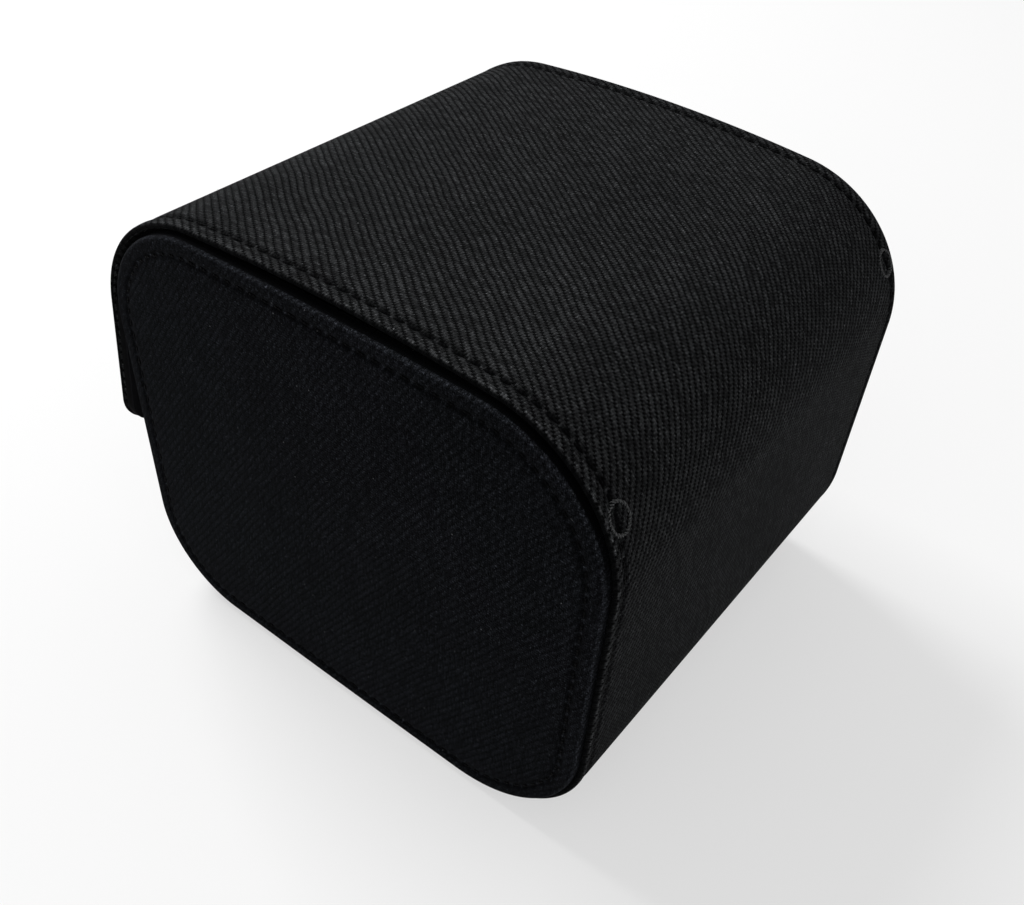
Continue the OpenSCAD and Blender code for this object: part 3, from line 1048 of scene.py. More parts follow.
@dataclass(frozen=True)
class Suede:
    """Short-napped lining whose nap lies in brushed patches."""

    name: str
    dark: Colour
    light: Colour
    relief: float = 0.05

    NAP = Grain(90.0, 4.0, 0.6)
    NAP_RANGE = (0.35, 0.65)
    FIBRES = Grain(3800.0, 3.0, 0.75)
    FIBRE_TONE = 0.55
    BRUSHED = Grain(420.0, 3.0, 0.6)
    # Painted shade, nearly black, on the lining's turned-up edges that stand under the cloth's edge, and how
    # much of it
    PAINTED_GAP_SHADE = (0.0004, 0.0004, 0.0005)
    PAINTED_GAP_SHADE_SHARE = 0.95
    FIBRE_HEIGHT = 0.7
    BRUSHED_HEIGHT = 0.5

    def material(self) -> bpy.types.Material:
        """Makes the suede's material.

        Returns:
            The material.
        """
        bench = NodeBench(self.name)
        place = bench.place()
        fibres, brushed = bench.noise(place, self.FIBRES), bench.noise(place, self.BRUSHED)
        nap = bench.spread(bench.noise(place, self.NAP), *self.NAP_RANGE)
        colour = bench.blend(nap, self.dark, self.light)
        colour = bench.blend(bench.spread(fibres, 0.3, 0.7, 0.0, self.FIBRE_TONE), colour, self.dark)
        colour = bench.blend(bench.times(bench.mask(SEAM_MASK), self.PAINTED_GAP_SHADE_SHARE), colour, self.PAINTED_GAP_SHADE)
        height = bench.plus(bench.times(fibres, self.FIBRE_HEIGHT),
                            bench.times(brushed, self.BRUSHED_HEIGHT))
        rough = bench.spread(brushed, 0.3, 0.7, 0.82, 0.96)
        return bench.finish(colour, rough, height, self.relief, Specular_IOR_Level=0.03,
                            Sheen_Weight=0.02, Sheen_Roughness=0.5, Sheen_Tint=(0.6, 0.6, 0.64, 1.0))


@dataclass(frozen=True)
class WaxedThread:
    """Twisted sewing thread, with its plies along the flat coordinates."""

    name: str
    colour: Colour
    specular: float = 0.2
    ply_pitch: float = 0.55
    relief: float = 0.06

    FUZZ = Grain(5.0, 3.0, 0.7)
    FUZZ_RANGE = (0.58, 0.8)
    FUZZ_SHARE = 0.4
    # Brightness between the plies, a painted shade, and on the fuzz, as shares of the thread's colour
    BETWEEN_PLIES = 0.35
    ON_FUZZ = 2.5

    def material(self) -> bpy.types.Material:
        """Makes the thread's material.

        Returns:
            The material.
        """
        bench = NodeBench(self.name)
        flat = bench.flat()
        along, around, _ = bench.split(flat)
        turn = bench.plus(bench.maths("DIVIDE", along, self.ply_pitch), around)
        wave = bench.maths("COSINE", bench.times(turn, math.tau))
        ply = bench.plus(bench.times(wave, 0.5), 0.5)
        fuzz = bench.noise(flat, self.FUZZ)
        dark, pale = (tuple(share * c for c in self.colour) for share in (self.BETWEEN_PLIES, self.ON_FUZZ))
        # Painted shade between the plies
        colour = bench.blend(ply, dark, self.colour)
        colour = bench.blend(bench.spread(fuzz, *self.FUZZ_RANGE, 0.0, self.FUZZ_SHARE), colour, pale)
        return bench.finish(colour, bench.spread(fuzz, 0.3, 0.7, 0.5, 0.75), ply, self.relief,
                            Specular_IOR_Level=self.specular)


@dataclass(frozen=True)
class Gunmetal:
    """Dark plated metal with fine turned scratches and rubbed patches."""

    name: str
    colour: Colour
    relief: float = 0.004

    HAZE = Grain(700.0, 3.0)
    LINES = Grain(1.0, 3.0, 0.7, (900.0, 900.0, 9000.0))
    # Brightness of a rubbed patch, as a share of the metal's colour
    RUBBED = 1.9
    LINE_ROUGHNESS = 0.10

    def material(self) -> bpy.types.Material:
        """Makes the metal's material.

        Returns:
            The material.
        """
        bench = NodeBench(self.name)
        place = bench.place()
        haze, lines = bench.noise(place, self.HAZE), bench.noise(place, self.LINES)
        rubbed = tuple(min(1.0, self.RUBBED * c) for c in self.colour)
        colour = bench.blend(bench.spread(haze, 0.45, 0.75, 0.0, 0.5), self.colour, rubbed)
        rough = bench.plus(bench.spread(haze, 0.3, 0.7, 0.24, 0.4), bench.times(lines, self.LINE_ROUGHNESS))
        return bench.finish(colour, rough, lines, self.relief, Metallic=1.0)


@dataclass(frozen=True)
class Greyboard:
    """Bookbinder's board: grey pulp with flecks, lightly calendered."""

    name: str
    pulp: Colour
    relief: float = 0.06

    PULP = Grain(260.0, 5.0, 0.65)
    FLECKS = Grain(1500.0, 2.0, 0.6)
    FLECK_RANGE = (0.66, 0.74)
    FLECK = (0.12, 0.11, 0.10)
    # Brightness of the darker pulp, as a share of the board's colour
    SHADED = 0.62

    def material(self) -> bpy.types.Material:
        """Makes the board's material.

        Returns:
            The material.
        """
        bench = NodeBench(self.name)
        place = bench.place()
        pulp, fleck = bench.noise(place, self.PULP), bench.noise(place, self.FLECKS)
        dark = tuple(self.SHADED * c for c in self.pulp)
        colour = bench.blend(bench.spread(pulp, 0.35, 0.65), dark, self.pulp)
        colour = bench.blend(bench.spread(fleck, *self.FLECK_RANGE, 0.0, 0.6), colour, self.FLECK)
        rough = bench.spread(pulp, 0.3, 0.7, 0.8, 0.95)
        return bench.finish(colour, rough, pulp, self.relief, Specular_IOR_Level=0.25)


@dataclass(frozen=True)
class Finishes:
    """One material of each kind, shared by the pieces."""

    strip: bpy.types.Material = field(default_factory=WarpTwill(
        "strip_twill", crest=(0.0222, 0.0231, 0.0241), groove=(0.0006, 0.0007, 0.0008)).material)
    panel: bpy.types.Material = field(default_factory=WarpTwill(
        "panel_twill", crest=(0.0050, 0.0055, 0.0067), groove=(0.0008, 0.0009, 0.0011),
        warp_pitch=0.309, weft_pitch=0.4386, relief=0.08, weft_sink=0.12, weft_shade=1.0, pit_depth=0.35,
        specular=0.012, fuzz=5.0, highlight_gain=1.5, speck=(0.085, 0.087, 0.092)).material)
    suede: bpy.types.Material = field(default_factory=Suede(
        "lining_suede", dark=(0.005, 0.005, 0.006), light=(0.012, 0.012, 0.014)).material)
    pillow: bpy.types.Material = field(default_factory=Suede(
        "pillow_suede", dark=(0.016, 0.016, 0.018), light=(0.036, 0.036, 0.040)).material)
    thread: bpy.types.Material = field(default_factory=WaxedThread(
        "black_thread", colour=(0.0012, 0.0013, 0.0017), specular=0.02).material)
    tack: bpy.types.Material = field(default_factory=WaxedThread(
        "tack_thread", colour=(0.052, 0.054, 0.056), specular=0.4).material)
    panel_thread: bpy.types.Material = field(default_factory=WaxedThread(
        "panel_thread", colour=(0.0018, 0.0019, 0.0023), specular=0.02).material)
    lint: bpy.types.Material = field(default_factory=WaxedThread(
        "lint_fibre", colour=(0.085, 0.088, 0.092)).material)
    metal: bpy.types.Material = field(default_factory=Gunmetal(
        "gunmetal_plate", colour=(0.13, 0.13, 0.14)).material)
    board: bpy.types.Material = field(default_factory=Greyboard(
        "grey_board", pulp=(0.42, 0.40, 0.37)).material)


# ---------------------------------------------------------------- sewing

# How much further along the plies start on each next thread, in millimetres
PLY_SHIFT = 0.37


@dataclass(frozen=True)
class StitchLine:
    """How far a row of stitches runs from the cloth's edge, before and after the hinge."""

    after: float
    before: float
    turn: float = 0.0
    ease: float = 5.0

    def at(self, run: Array) -> Array:
        """The distance at places along the cloth."""
        share = np.clip((run - self.turn) / self.ease + 0.5, 0, 1)
        return self.before + (self.after - self.before) * share * share * (3 - 2 * share)


@dataclass(frozen=True)
class Seam:
    """A row of stitches and the way that it pulls the cloth down."""

    pitch: float = 2.5
    groove: float = 0.36
    groove_w: float = 0.5
    hole: float = 0.15
    hole_w: float = 0.28
    pucker: float = 0.55
    pucker_w: float = 0.5
    thread_r: float = 0.24
    slant: float = 0.12
    dive: float = 0.62
    sunk: float = 0.08
    shade_w: float = 0.62
    spared: float = 0.8

    # Points and sides of a stitch, how round it arches, and how thin its ends are
    STEPS = 9
    SIDES = 7
    ARCH = 0.8
    ENDS = 0.75
    # Differences between stitches, as standard deviations in millimetres
    SLACK = 0.05
    UNEVEN = 0.02

    def hole_gaps(self, off: Array, flat: Array, holes: Array) -> Array:
        """Distances of places near the row to the nearest needle hole, and far elsewhere.

        Args:
            off: Each place's distance from the row.
            flat: The places.
            holes: The needle holes, in the same coordinates.

        Returns:
            The distances.
        """
        gaps = np.full(len(flat), self.pitch)
        near = np.abs(off) < 2 * self.pucker_w
        if near.any():
            gaps[near] = np.linalg.norm(flat[near][:, None, :] - holes[None], axis=-1).min(axis=1)
        return gaps

    def pull(self, off: Array, gaps: Array) -> Array:
        """How deep the seam draws the cloth: a groove that puckers up between stitches.

        Args:
            off: Each place's distance from the row.
            gaps: Its distance from the nearest needle hole.

        Returns:
            The depths.
        """
        line = self.groove * np.exp(-((off / self.groove_w) ** 2))
        rise = 1 - self.pucker * np.exp(-((gaps / self.pucker_w) ** 2))
        return line * rise + self.hole * np.exp(-((gaps / self.hole_w) ** 2))

    def shade(self, off: Array, gaps: Array) -> Array:
        """Painted shade along each stitch, lighter where the cloth puckers up near the holes, 0 to 1."""
        # pressed is where the painted shade lies, spared at the puckers
        pressed = 1 - self.spared * np.exp(-((gaps / self.pucker_w) ** 2))
        return np.exp(-((off / self.shade_w) ** 4)) * pressed

    def puckers(self, off: Array, gaps: Array) -> Array:
        """How much the raised cloth between two stitches catches the light, 0 to 1."""
        return np.exp(-((off / self.groove_w) ** 2) - (gaps / self.pucker_w) ** 2)

    def sew(self, surface: Surface, holes: Array, seed: int, close: bool = False) -> Faces:
        """Threads from hole to hole, each diving into the cloth at both ends.

        Args:
            surface: The face that is sewn.
            holes: The needle holes in order, on that face.
            seed: Seed of the small differences between stitches.
            close: Sews from the last hole to the first as well.

        Returns:
            The threads, as closed tubes.
        """
        random = np.random.default_rng(seed)
        ends = np.roll(holes, -1, axis=0) if close else holes[1:]
        starts = holes if close else holes[:-1]
        step = np.linspace(0, 1, self.STEPS)
        slack = random.normal(0, self.SLACK, (len(starts), 2, 2))
        along = (ends - starts) / np.linalg.norm(ends - starts, axis=1, keepdims=True)
        aside = self.slant * np.stack([-along[:, 1], along[:, 0]], axis=1)
        first, last = starts + aside + slack[:, 0], ends - aside + slack[:, 1]
        flat = first[:, None] + (last - first)[:, None] * step[None, :, None]
        arch = np.sin(math.pi * step) ** self.ARCH
        top = self.sunk + self.thread_r + random.normal(0, self.UNEVEN, (len(starts), 1))
        depth = self.dive - (self.dive - top) * arch[None]
        middle = surface.place(flat, depth)
        outer = surface.place(flat, depth - 1.0) - middle
        radius = self.thread_r * (self.ENDS + (1 - self.ENDS) * arch)
        return tubes(middle, outer, radius, self.SIDES)


def tubes(middle: Array, outer: Array, radius: Array, sides: int) -> Faces:
    """Closed round tubes along many short lines.

    Args:
        middle: Their centre lines, of shape (tubes, rings, 3).
        outer: A direction at each ring that isn't along the line.
        radius: The radius at each ring.
        sides: Number of sides.

    Returns:
        The tubes as one shape, with flat coordinates (length, share of a turn).
    """
    count, rings, _ = middle.shape
    along = np.gradient(middle, axis=1)
    along /= np.linalg.norm(along, axis=-1, keepdims=True)
    side = np.cross(along, outer)
    side /= np.linalg.norm(side, axis=-1, keepdims=True)
    up = np.cross(side, along)
    turn = np.linspace(0, math.tau, sides, endpoint=False)
    round_it = side[:, :, None] * np.cos(turn)[:, None] + up[:, :, None] * np.sin(turn)[:, None]
    points = middle[:, :, None] + round_it * np.broadcast_to(radius, (count, rings))[:, :, None, None]
    run = np.concatenate([[0.0], np.cumsum(np.linalg.norm(np.diff(middle[0], axis=0), axis=-1))])
    shift = PLY_SHIFT * np.arange(count)
    flat = np.stack(np.broadcast_arrays(run[None, :, None] + shift[:, None, None],
                                        (turn / math.tau)[None, None]), axis=-1)
    size = rings * sides
    firsts = size * np.arange(count)
    quads = (grid_quads(rings, sides, close=True)[None] + firsts[:, None, None]).reshape(-1, 4)
    ends = (tuple(reversed(range(sides))), tuple(range(size - sides, size)))
    caps = [tuple(int(n + first) for n in end) for first in firsts for end in ends]
    return outwards(Faces(points.reshape(-1, 3), quads, flat.reshape(-1, 2), caps))


def spaced_holes(outline: Outline, first: float, last: float, pitch: float, inset: float = 0.0) -> Array:
    """Needle holes along an outline.

    Args:
        outline: The line that is followed.
        first: Where the row starts.
        last: Where it ends.
        pitch: Length of a stitch, fitted to the row.
        inset: Distance of the row inside the outline.

    Returns:
        The holes, of shape (n, 2).
    """
    count = max(2, round((last - first) / pitch) + 1)
    points, normals = outline.at(np.linspace(first, last, count))
    return points - normals * inset


# ---------------------------------------------------------------- cloth sheets


@dataclass(frozen=True)
class CutSheet:
    """Where a sheet of cloth lies on the strip: its width, its ends and its corners."""

    half: float
    first: float
    last: float
    corner_r: float = 0.0
    finished: tuple[bool, bool] = (False, False)

    # Room that even rows leave at an end, and the closest that two rows lie
    END_ROOM = 0.2
    CLOSEST = 0.03

    def half_at(self, run: Array) -> Array:
        """Half the sheet's width along its length, drawn in at its rounded corners."""
        into = np.clip(run - (self.last - self.corner_r), 0, self.corner_r)
        return self.half - self.corner_r + np.sqrt(self.corner_r**2 - into**2)

    def rows(self, step: float, fine: Array) -> Array:
        """Places along the sheet, finer where an end is turned over.

        Args:
            step: Distance between even rows.
            fine: Distances of the finer rows from a turned end.

        Returns:
            The places.
        """
        even = np.arange(math.ceil(self.first / step) + 1, self.last / step) * step
        within = (even > self.first + self.END_ROOM) & (even < self.last - self.END_ROOM)
        parts = [even[within], [self.first, self.last]]
        if self.finished[0]:
            parts.append(self.first + fine)
        if self.finished[1]:
            parts.append(self.last - fine)
        rows = np.unique(np.round(np.concatenate(parts), 4))
        return rows[np.concatenate([[True], np.diff(rows) > self.CLOSEST])]

    def edge_distance(self, flat: Array) -> Array:
        """Distance of places on the sheet from its turned edges.

        Args:
            flat: Places (x, run) with a last axis of two numbers.

        Returns:
            The distances, 0 outside the sheet.
        """
        x, run = np.abs(flat[..., 0]), flat[..., 1]
        reach = self.half - x
        if self.finished[0]:
            reach = np.minimum(reach, run - self.first)
        if self.finished[1]:
            reach = np.minimum(reach, self.last - run)
        dx, ds = x - (self.half - self.corner_r), run - (self.last - self.corner_r)
        inside = (dx > 0) & (ds > 0) & (self.corner_r > 0)
        return np.clip(np.where(inside, self.corner_r - np.hypot(dx, ds), reach), 0, None)


@dataclass(frozen=True)
class StripCloth:
    """The long strip of cloth: front, bottom, back, lid and tongue."""

    profile: SideProfile
    finishes: Finishes
    half: float
    seam: Seam = Seam()
    lid_margin: float = 2.75
    body_margin: float = 1.75
    corner_r: float = 7.0
    split_y: float = 0.0
    hinge_zone: tuple[float, float] = (67.6, 72.4)
    fold_zone: tuple[float, float] = (62.0, 53.5)
    tack_r: float = 1.95
    puff: float = 0.07
    row_step: float = 0.42

    # Columns and rows from a turned edge: round it, along the seam as first, last and step, and beyond
    EDGE_STEPS = (0.0, 0.07, 0.17, 0.30, 0.45, 0.65)
    SEWN_STEPS = (0.85, 3.95, 0.17)
    PAST_SEAM = 4.4
    MIDDLE_FROM = 5.4
    MIDDLE_STEPS = 14
    SQUARE_FROM = 4.6
    SQUARE_STEP = 0.5
    # How round an edge is, from 0, square, to 1
    BLUNT = 0.97
    PUFF_REACH = 2.6
    # Where a painted highlight runs along a folded edge, and where painted shade starts on its side, each
    # with its softness
    LIT_AT = (0.38, 0.2)
    SIDE_AT = (0.22, 0.1)
    FIRST_HOLE = 1.25

    @property
    def outline(self) -> Outline:
        """The strip's outline."""
        return self.profile.strip()

    @property
    def surface(self) -> StripSurface:
        """The strip's outer face."""
        return StripSurface(self.outline)

    @property
    def hinge_run(self) -> float:
        """Where the hinge line lies along the strip."""
        hinge_y = frame["joints"][0]["pos_m"][1] / MM
        return self.profile.run_to(self.outline, hinge_y, self.profile.back_top_c[1])

    @property
    def split(self) -> float:
        """Where the strip's two pieces meet, in the middle of the lid."""
        return self.profile.run_to(self.outline, self.split_y, self.profile.crown_z / 2)

    def side_rows(self, first: float, last: float, line: StitchLine) -> list[Array]:
        """Needle holes of the two side rows between two places.

        Args:
            first: The first hole's place along the strip.
            last: The last hole's place.
            line: How far the rows run from the cloth's edges.

        Returns:
            The left row and the right row.
        """
        count = max(2, round((last - first) / self.seam.pitch) + 1)
        run = np.linspace(first, last, count)
        x = self.half - line.at(run)
        return [np.stack([sign * x, run], axis=1) for sign in (-1, 1)]

    def tongue_row(self) -> Array:
        """Needle holes down one side of the tongue, along its tip and up the other.

        Returns:
            The holes, of shape (n, 2).
        """
        x, r = self.half - self.lid_margin, self.corner_r - self.lid_margin
        end, low = self.outline.length, self.outline.length - self.corner_r
        centre = self.half - self.corner_r
        tip = end - self.lid_margin
        route = Outline([
            Straight(np.array([x, self.split]), np.array([x, low])),
            Bend(np.array([centre, low]), r, 0, 90),
            Straight(np.array([centre, tip]), np.array([-centre, tip])),
            Bend(np.array([-centre, low]), r, 90, 180),
            Straight(np.array([-x, low]), np.array([-x, self.split])),
        ])
        return spaced_holes(route, 0, route.length, self.seam.pitch)

    def sheet(self, cut: CutSheet, line: StitchLine, holes: Array) -> Faces:
        """Both faces of a length of cloth, with round edges and a groove at each row.

        Args:
            cut: Where the cloth lies.
            line: How far its rows run from its edges.
            holes: The needle holes.

        Returns:
            The cloth's shape.
        """
        if cut.corner_r == 0:
            middle = np.linspace(self.MIDDLE_FROM, self.half, self.MIDDLE_STEPS)
        else:
            middle = np.arange(self.half, self.SQUARE_FROM, -self.SQUARE_STEP)[::-1]
        edge = np.array([*self.EDGE_STEPS, *np.arange(*self.SEWN_STEPS), self.PAST_SEAM, *middle])
        share = 1 - edge / self.half
        share = np.concatenate([-share, share[:-1][::-1]])
        rows = cut.rows(self.row_step, np.array(self.EDGE_STEPS[1:]))
        x = share[None] * cut.half_at(rows)[:, None]
        flat = np.stack([x, np.repeat(rows[:, None], len(share), axis=1)], axis=-1)
        reach = cut.edge_distance(flat)
        r = self.profile.cover_t / 2
        rim = r - np.sqrt(r * r - np.clip(r - reach, 0, self.BLUNT * r) ** 2)
        swell = self.puff * np.sin(np.clip(reach / self.PUFF_REACH, 0, 1) * math.pi) ** 2
        off = (reach - line.at(flat[..., 1])).ravel()
        gaps = self.seam.hole_gaps(off, flat.reshape(-1, 2), holes)
        pulled = self.seam.pull(off, gaps)
        outer = self.surface.place(flat, rim - swell + pulled.reshape(reach.shape))
        inner = self.surface.place(flat, self.profile.cover_t - rim)
        shape = closed_sheet(outer, inner, flat)
        reach = reach.ravel()
        # Painted highlight along the folded edge and on the puckers between stitches
        lit = np.exp(-(((reach - self.LIT_AT[0]) / self.LIT_AT[1]) ** 2)) + self.seam.puckers(off, gaps)
        shape.edge = np.concatenate([lit, np.zeros_like(lit)])
        # Painted shade on the side of the cut edge
        side = np.clip((self.SIDE_AT[0] - reach) / self.SIDE_AT[1], 0, 1)
        shape.seam = np.tile(np.maximum(self.seam.shade(off, gaps), side), 2)
        return shape

    def bend_at_hinge(self, piece: bpy.types.Object) -> None:
        """Bakes a piece's place into its points; the piece is not made to turn with the lid."""
        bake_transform(piece)

    def bend_at_fold(self, piece: bpy.types.Object) -> None:
        """Bakes a piece's place into its points; the piece is not made to turn at the fold."""
        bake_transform(piece)

    def build_body(self) -> None:
        """Builds the cloth and stitches from the front's top edge to the middle of the lid."""
        hinge = self.hinge_run
        line = StitchLine(after=self.lid_margin, before=self.body_margin, turn=hinge - self.tack_r)
        rows = self.side_rows(self.FIRST_HOLE, hinge - 2 * self.tack_r, line)
        rows += self.side_rows(hinge, self.split, line)
        cut = CutSheet(self.half, 0.0, self.split, finished=(True, False))
        shape = self.sheet(cut, line, np.concatenate(rows))
        cloth = make_piece("strip_cloth_body", shape, self.finishes.strip)
        self.bend_at_hinge(cloth)
        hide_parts("wrap_cover", "lid_cover")
        self.split * MM
        threads = [self.seam.sew(self.surface, row, seed=11 + i) for i, row in enumerate(rows)]
        joined = threads[0]
        for thread in threads[1:]:
            joined = joined.joined(thread)
        sewn = make_piece("strip_stitches_body", joined, self.finishes.thread)
        self.bend_at_hinge(sewn)
        LOG.info("strip cloth: %.1f mm from the front's edge to the middle of the lid", self.split)

    def build_tongue(self) -> None:
        """Builds the cloth and stitches from the middle of the lid to the tongue's tip."""
        end = self.outline.length
        line = StitchLine(after=self.lid_margin, before=self.lid_margin)
        row = self.tongue_row()
        cut = CutSheet(self.half, self.split, end, self.corner_r, finished=(False, True))
        cloth = make_piece("strip_cloth_tongue", self.sheet(cut, line, row), self.finishes.strip)
        self.bend_at_fold(cloth)
        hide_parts("lid_cover", "tongue_cover")
        (end - self.split) * MM
        threads = self.seam.sew(self.surface, row, seed=21)
        sewn = make_piece("strip_stitches_tongue", threads, self.finishes.thread)
        self.bend_at_fold(sewn)
        LOG.info("strip cloth: %.1f mm from the middle of the lid to the tip", end - self.split)

    def build(self) -> None:
        """Builds both lengths of the strip."""
        self.build_body()
        self.build_tongue()


@dataclass(frozen=True)
class StripLining:
    """The suede inside the strip, over its boards and turned up round their edges."""

    cloth: StripCloth
    case_half: float
    lid_half: float
    thickness: float = 0.6
    case_depth: float = 2.4
    lid_depth: float = 1.8
    easing: float = 4.0
    turn_from: float = 2.2
    widening: float = 3.0
    rim: float = 0.5
    stud_drop: float = 15.0
    well: tuple[float, float] = (2.9, 2.98)
    well_depth: float = 1.12
    well_t: float = 0.1
    flange: float = 0.15
    row_step: float = 1.0

    END_STEPS = (0.2, 0.5)
    # Columns: even ones over most of the width, and two at each edge, as shares of the half width
    COLUMNS = 41
    EVEN_TO = 0.98
    NEAR_EDGE = 0.995
    # Gap under the cloth, share of the thickness that a turned edge loses, length over which it turns
    # up, and how far inside the lining's edge an open end counts as open
    UNDER_CLOTH = 0.03
    THINNED = 0.35
    TURN_OVER = 1.5
    OPEN_WITHIN = 1.0

    def sheet(self, cut: CutSheet) -> Faces:
        """One length of lining, which steps up and in where it passes from case to lid.

        Args:
            cut: Where the lining lies.

        Returns:
            The lining's shape.
        """
        surface, hinge = self.cloth.surface, self.cloth.hinge_run
        rows = cut.rows(self.row_step, np.array(self.END_STEPS))
        even = np.linspace(-self.EVEN_TO, self.EVEN_TO, self.COLUMNS)
        share = np.concatenate([[-1.0, -self.NEAR_EDGE], even, [self.NEAR_EDGE, 1.0]])
        fold = float(self.cloth.outline.starts[-2])
        seat = fold + self.stud_drop
        if cut.corner_r:
            wall = np.array([-self.well[1], -self.well[0], *self.well])
            rows = np.unique(np.concatenate([rows, seat + wall]))
            share = np.unique(np.concatenate([share, wall / cut.half]))
        lid = np.clip((rows - hinge) / self.easing, 0, 1)
        lid = lid * lid * (3 - 2 * lid)
        if cut.corner_r:
            wide = np.clip((rows - fold) / self.widening + 1, 0, 1)
            half = cut.half_at(rows) - (cut.half - self.lid_half) * (1 - wide * wide * (3 - 2 * wide))
        else:
            half = cut.half_at(rows) + (self.lid_half - self.case_half) * lid
        flat = np.stack([share[None] * half[:, None], np.repeat(rows[:, None], len(share), axis=1)], axis=-1)
        depth = self.case_depth + (self.lid_depth - self.case_depth) * lid
        top = np.repeat(depth[:, None], len(share), axis=1)
        sunk = np.maximum(np.abs(flat[..., 0]), np.abs(flat[..., 1] - seat)) < sum(self.well) / 2
        outer = surface.place(flat, np.where(sunk, self.well_depth, top))
        inner = surface.place(flat, np.where(sunk, self.well_depth + self.well_t, top + self.thickness))
        ring = edge_ring(len(rows), len(share))
        round_flat, round_top = flat.reshape(-1, 2)[ring], top.reshape(-1)[ring]
        out = self.outward(round_flat, cut)
        turned = self.turned(round_flat, cut, hinge)
        high = round_top + (self.cloth.profile.cover_t + self.UNDER_CLOTH - round_top) * turned
        aside = round_flat + out * (self.flange * turned)[:, None]
        low = round_top + self.thickness * (1 - self.THINNED * turned)
        rims = [surface.place(round_flat, high), surface.place(aside, high), surface.place(aside, low)]
        shape = closed_sheet(outer, inner, flat, rims)
        # Painted shade on the turned-up edges, through the seam mask
        shape.seam = np.concatenate([np.zeros(2 * outer[..., 0].size), *(turned for _ in rims)])
        return shape

    @staticmethod
    def outward(flat: Array, cut: CutSheet) -> Array:
        """Directions that point off the sheet at places on its edge.

        Args:
            flat: The places, of shape (n, 2).
            cut: Where the lining lies.

        Returns:
            Unit vectors, of the same shape.
        """
        x, run = flat[:, 0], flat[:, 1]
        low = cut.last - cut.corner_r
        centre = np.stack([np.sign(x) * (cut.half - cut.corner_r), np.full_like(run, low)], axis=1)
        off = flat - centre
        corner = (run > low) & (np.abs(x) > cut.half - cut.corner_r - SLIVER) & (cut.corner_r > 0)
        side = np.stack([np.sign(x), np.zeros_like(x)], axis=1)
        end = np.stack([np.zeros_like(x), np.where(run > (cut.first + cut.last) / 2, 1.0, -1.0)], axis=1)
        at_end = (run < cut.first + SLIVER) | (run > cut.last - SLIVER)
        straight = np.where(at_end[:, None], end, side)
        length = np.linalg.norm(off, axis=1, keepdims=True)
        return np.where(corner[:, None], off / np.clip(length, SLIVER, None), straight)

    def turned(self, flat: Array, cut: CutSheet, hinge: float) -> Array:
        """Where the lining's edge is turned up over a board.

        Args:
            flat: Places on its edge, of shape (n, 2).
            cut: Where the lining lies.
            hinge: Where the hinge line lies along the strip.

        Returns:
            1 where it is turned up, and 0 where it lies flat.
        """
        run = flat[:, 1]
        on_lid = np.clip((run - hinge - self.turn_from) / self.TURN_OVER, 0, 1)
        first, last = run < cut.first + SLIVER, run > cut.last - SLIVER
        at_first = first & cut.finished[0]
        open_end = ~at_first & (first | (last & (not cut.finished[1])))
        inside = np.abs(flat[:, 0]) < self.lid_half - self.OPEN_WITHIN
        return np.where(open_end & inside, 0.0, np.maximum(on_lid, at_first))

    def build(self) -> None:
        """Builds the two lengths of lining."""
        cloth, suede = self.cloth, self.cloth.finishes.suede
        cut = CutSheet(self.case_half, 0.0, cloth.split, finished=(True, False))
        body = make_piece("strip_lining_body", self.sheet(cut), suede)
        cloth.bend_at_hinge(body)
        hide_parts("wrap_lining", "lid_lining")
        cloth.split * MM
        last = cloth.outline.length - self.rim
        half = cloth.half - self.rim
        cut = CutSheet(half, cloth.split, last, cloth.corner_r - self.rim, finished=(False, True))
        tongue = make_piece("strip_lining_tongue", self.sheet(cut), suede)
        cloth.bend_at_fold(tongue)
        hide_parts("lid_lining", "tongue_lining")
        (last - cloth.split) * MM
        LOG.info("strip lining: two lengths, %.1f and %.1f mm", cloth.split, last - cloth.split)


# ---------------------------------------------------------------- end panels


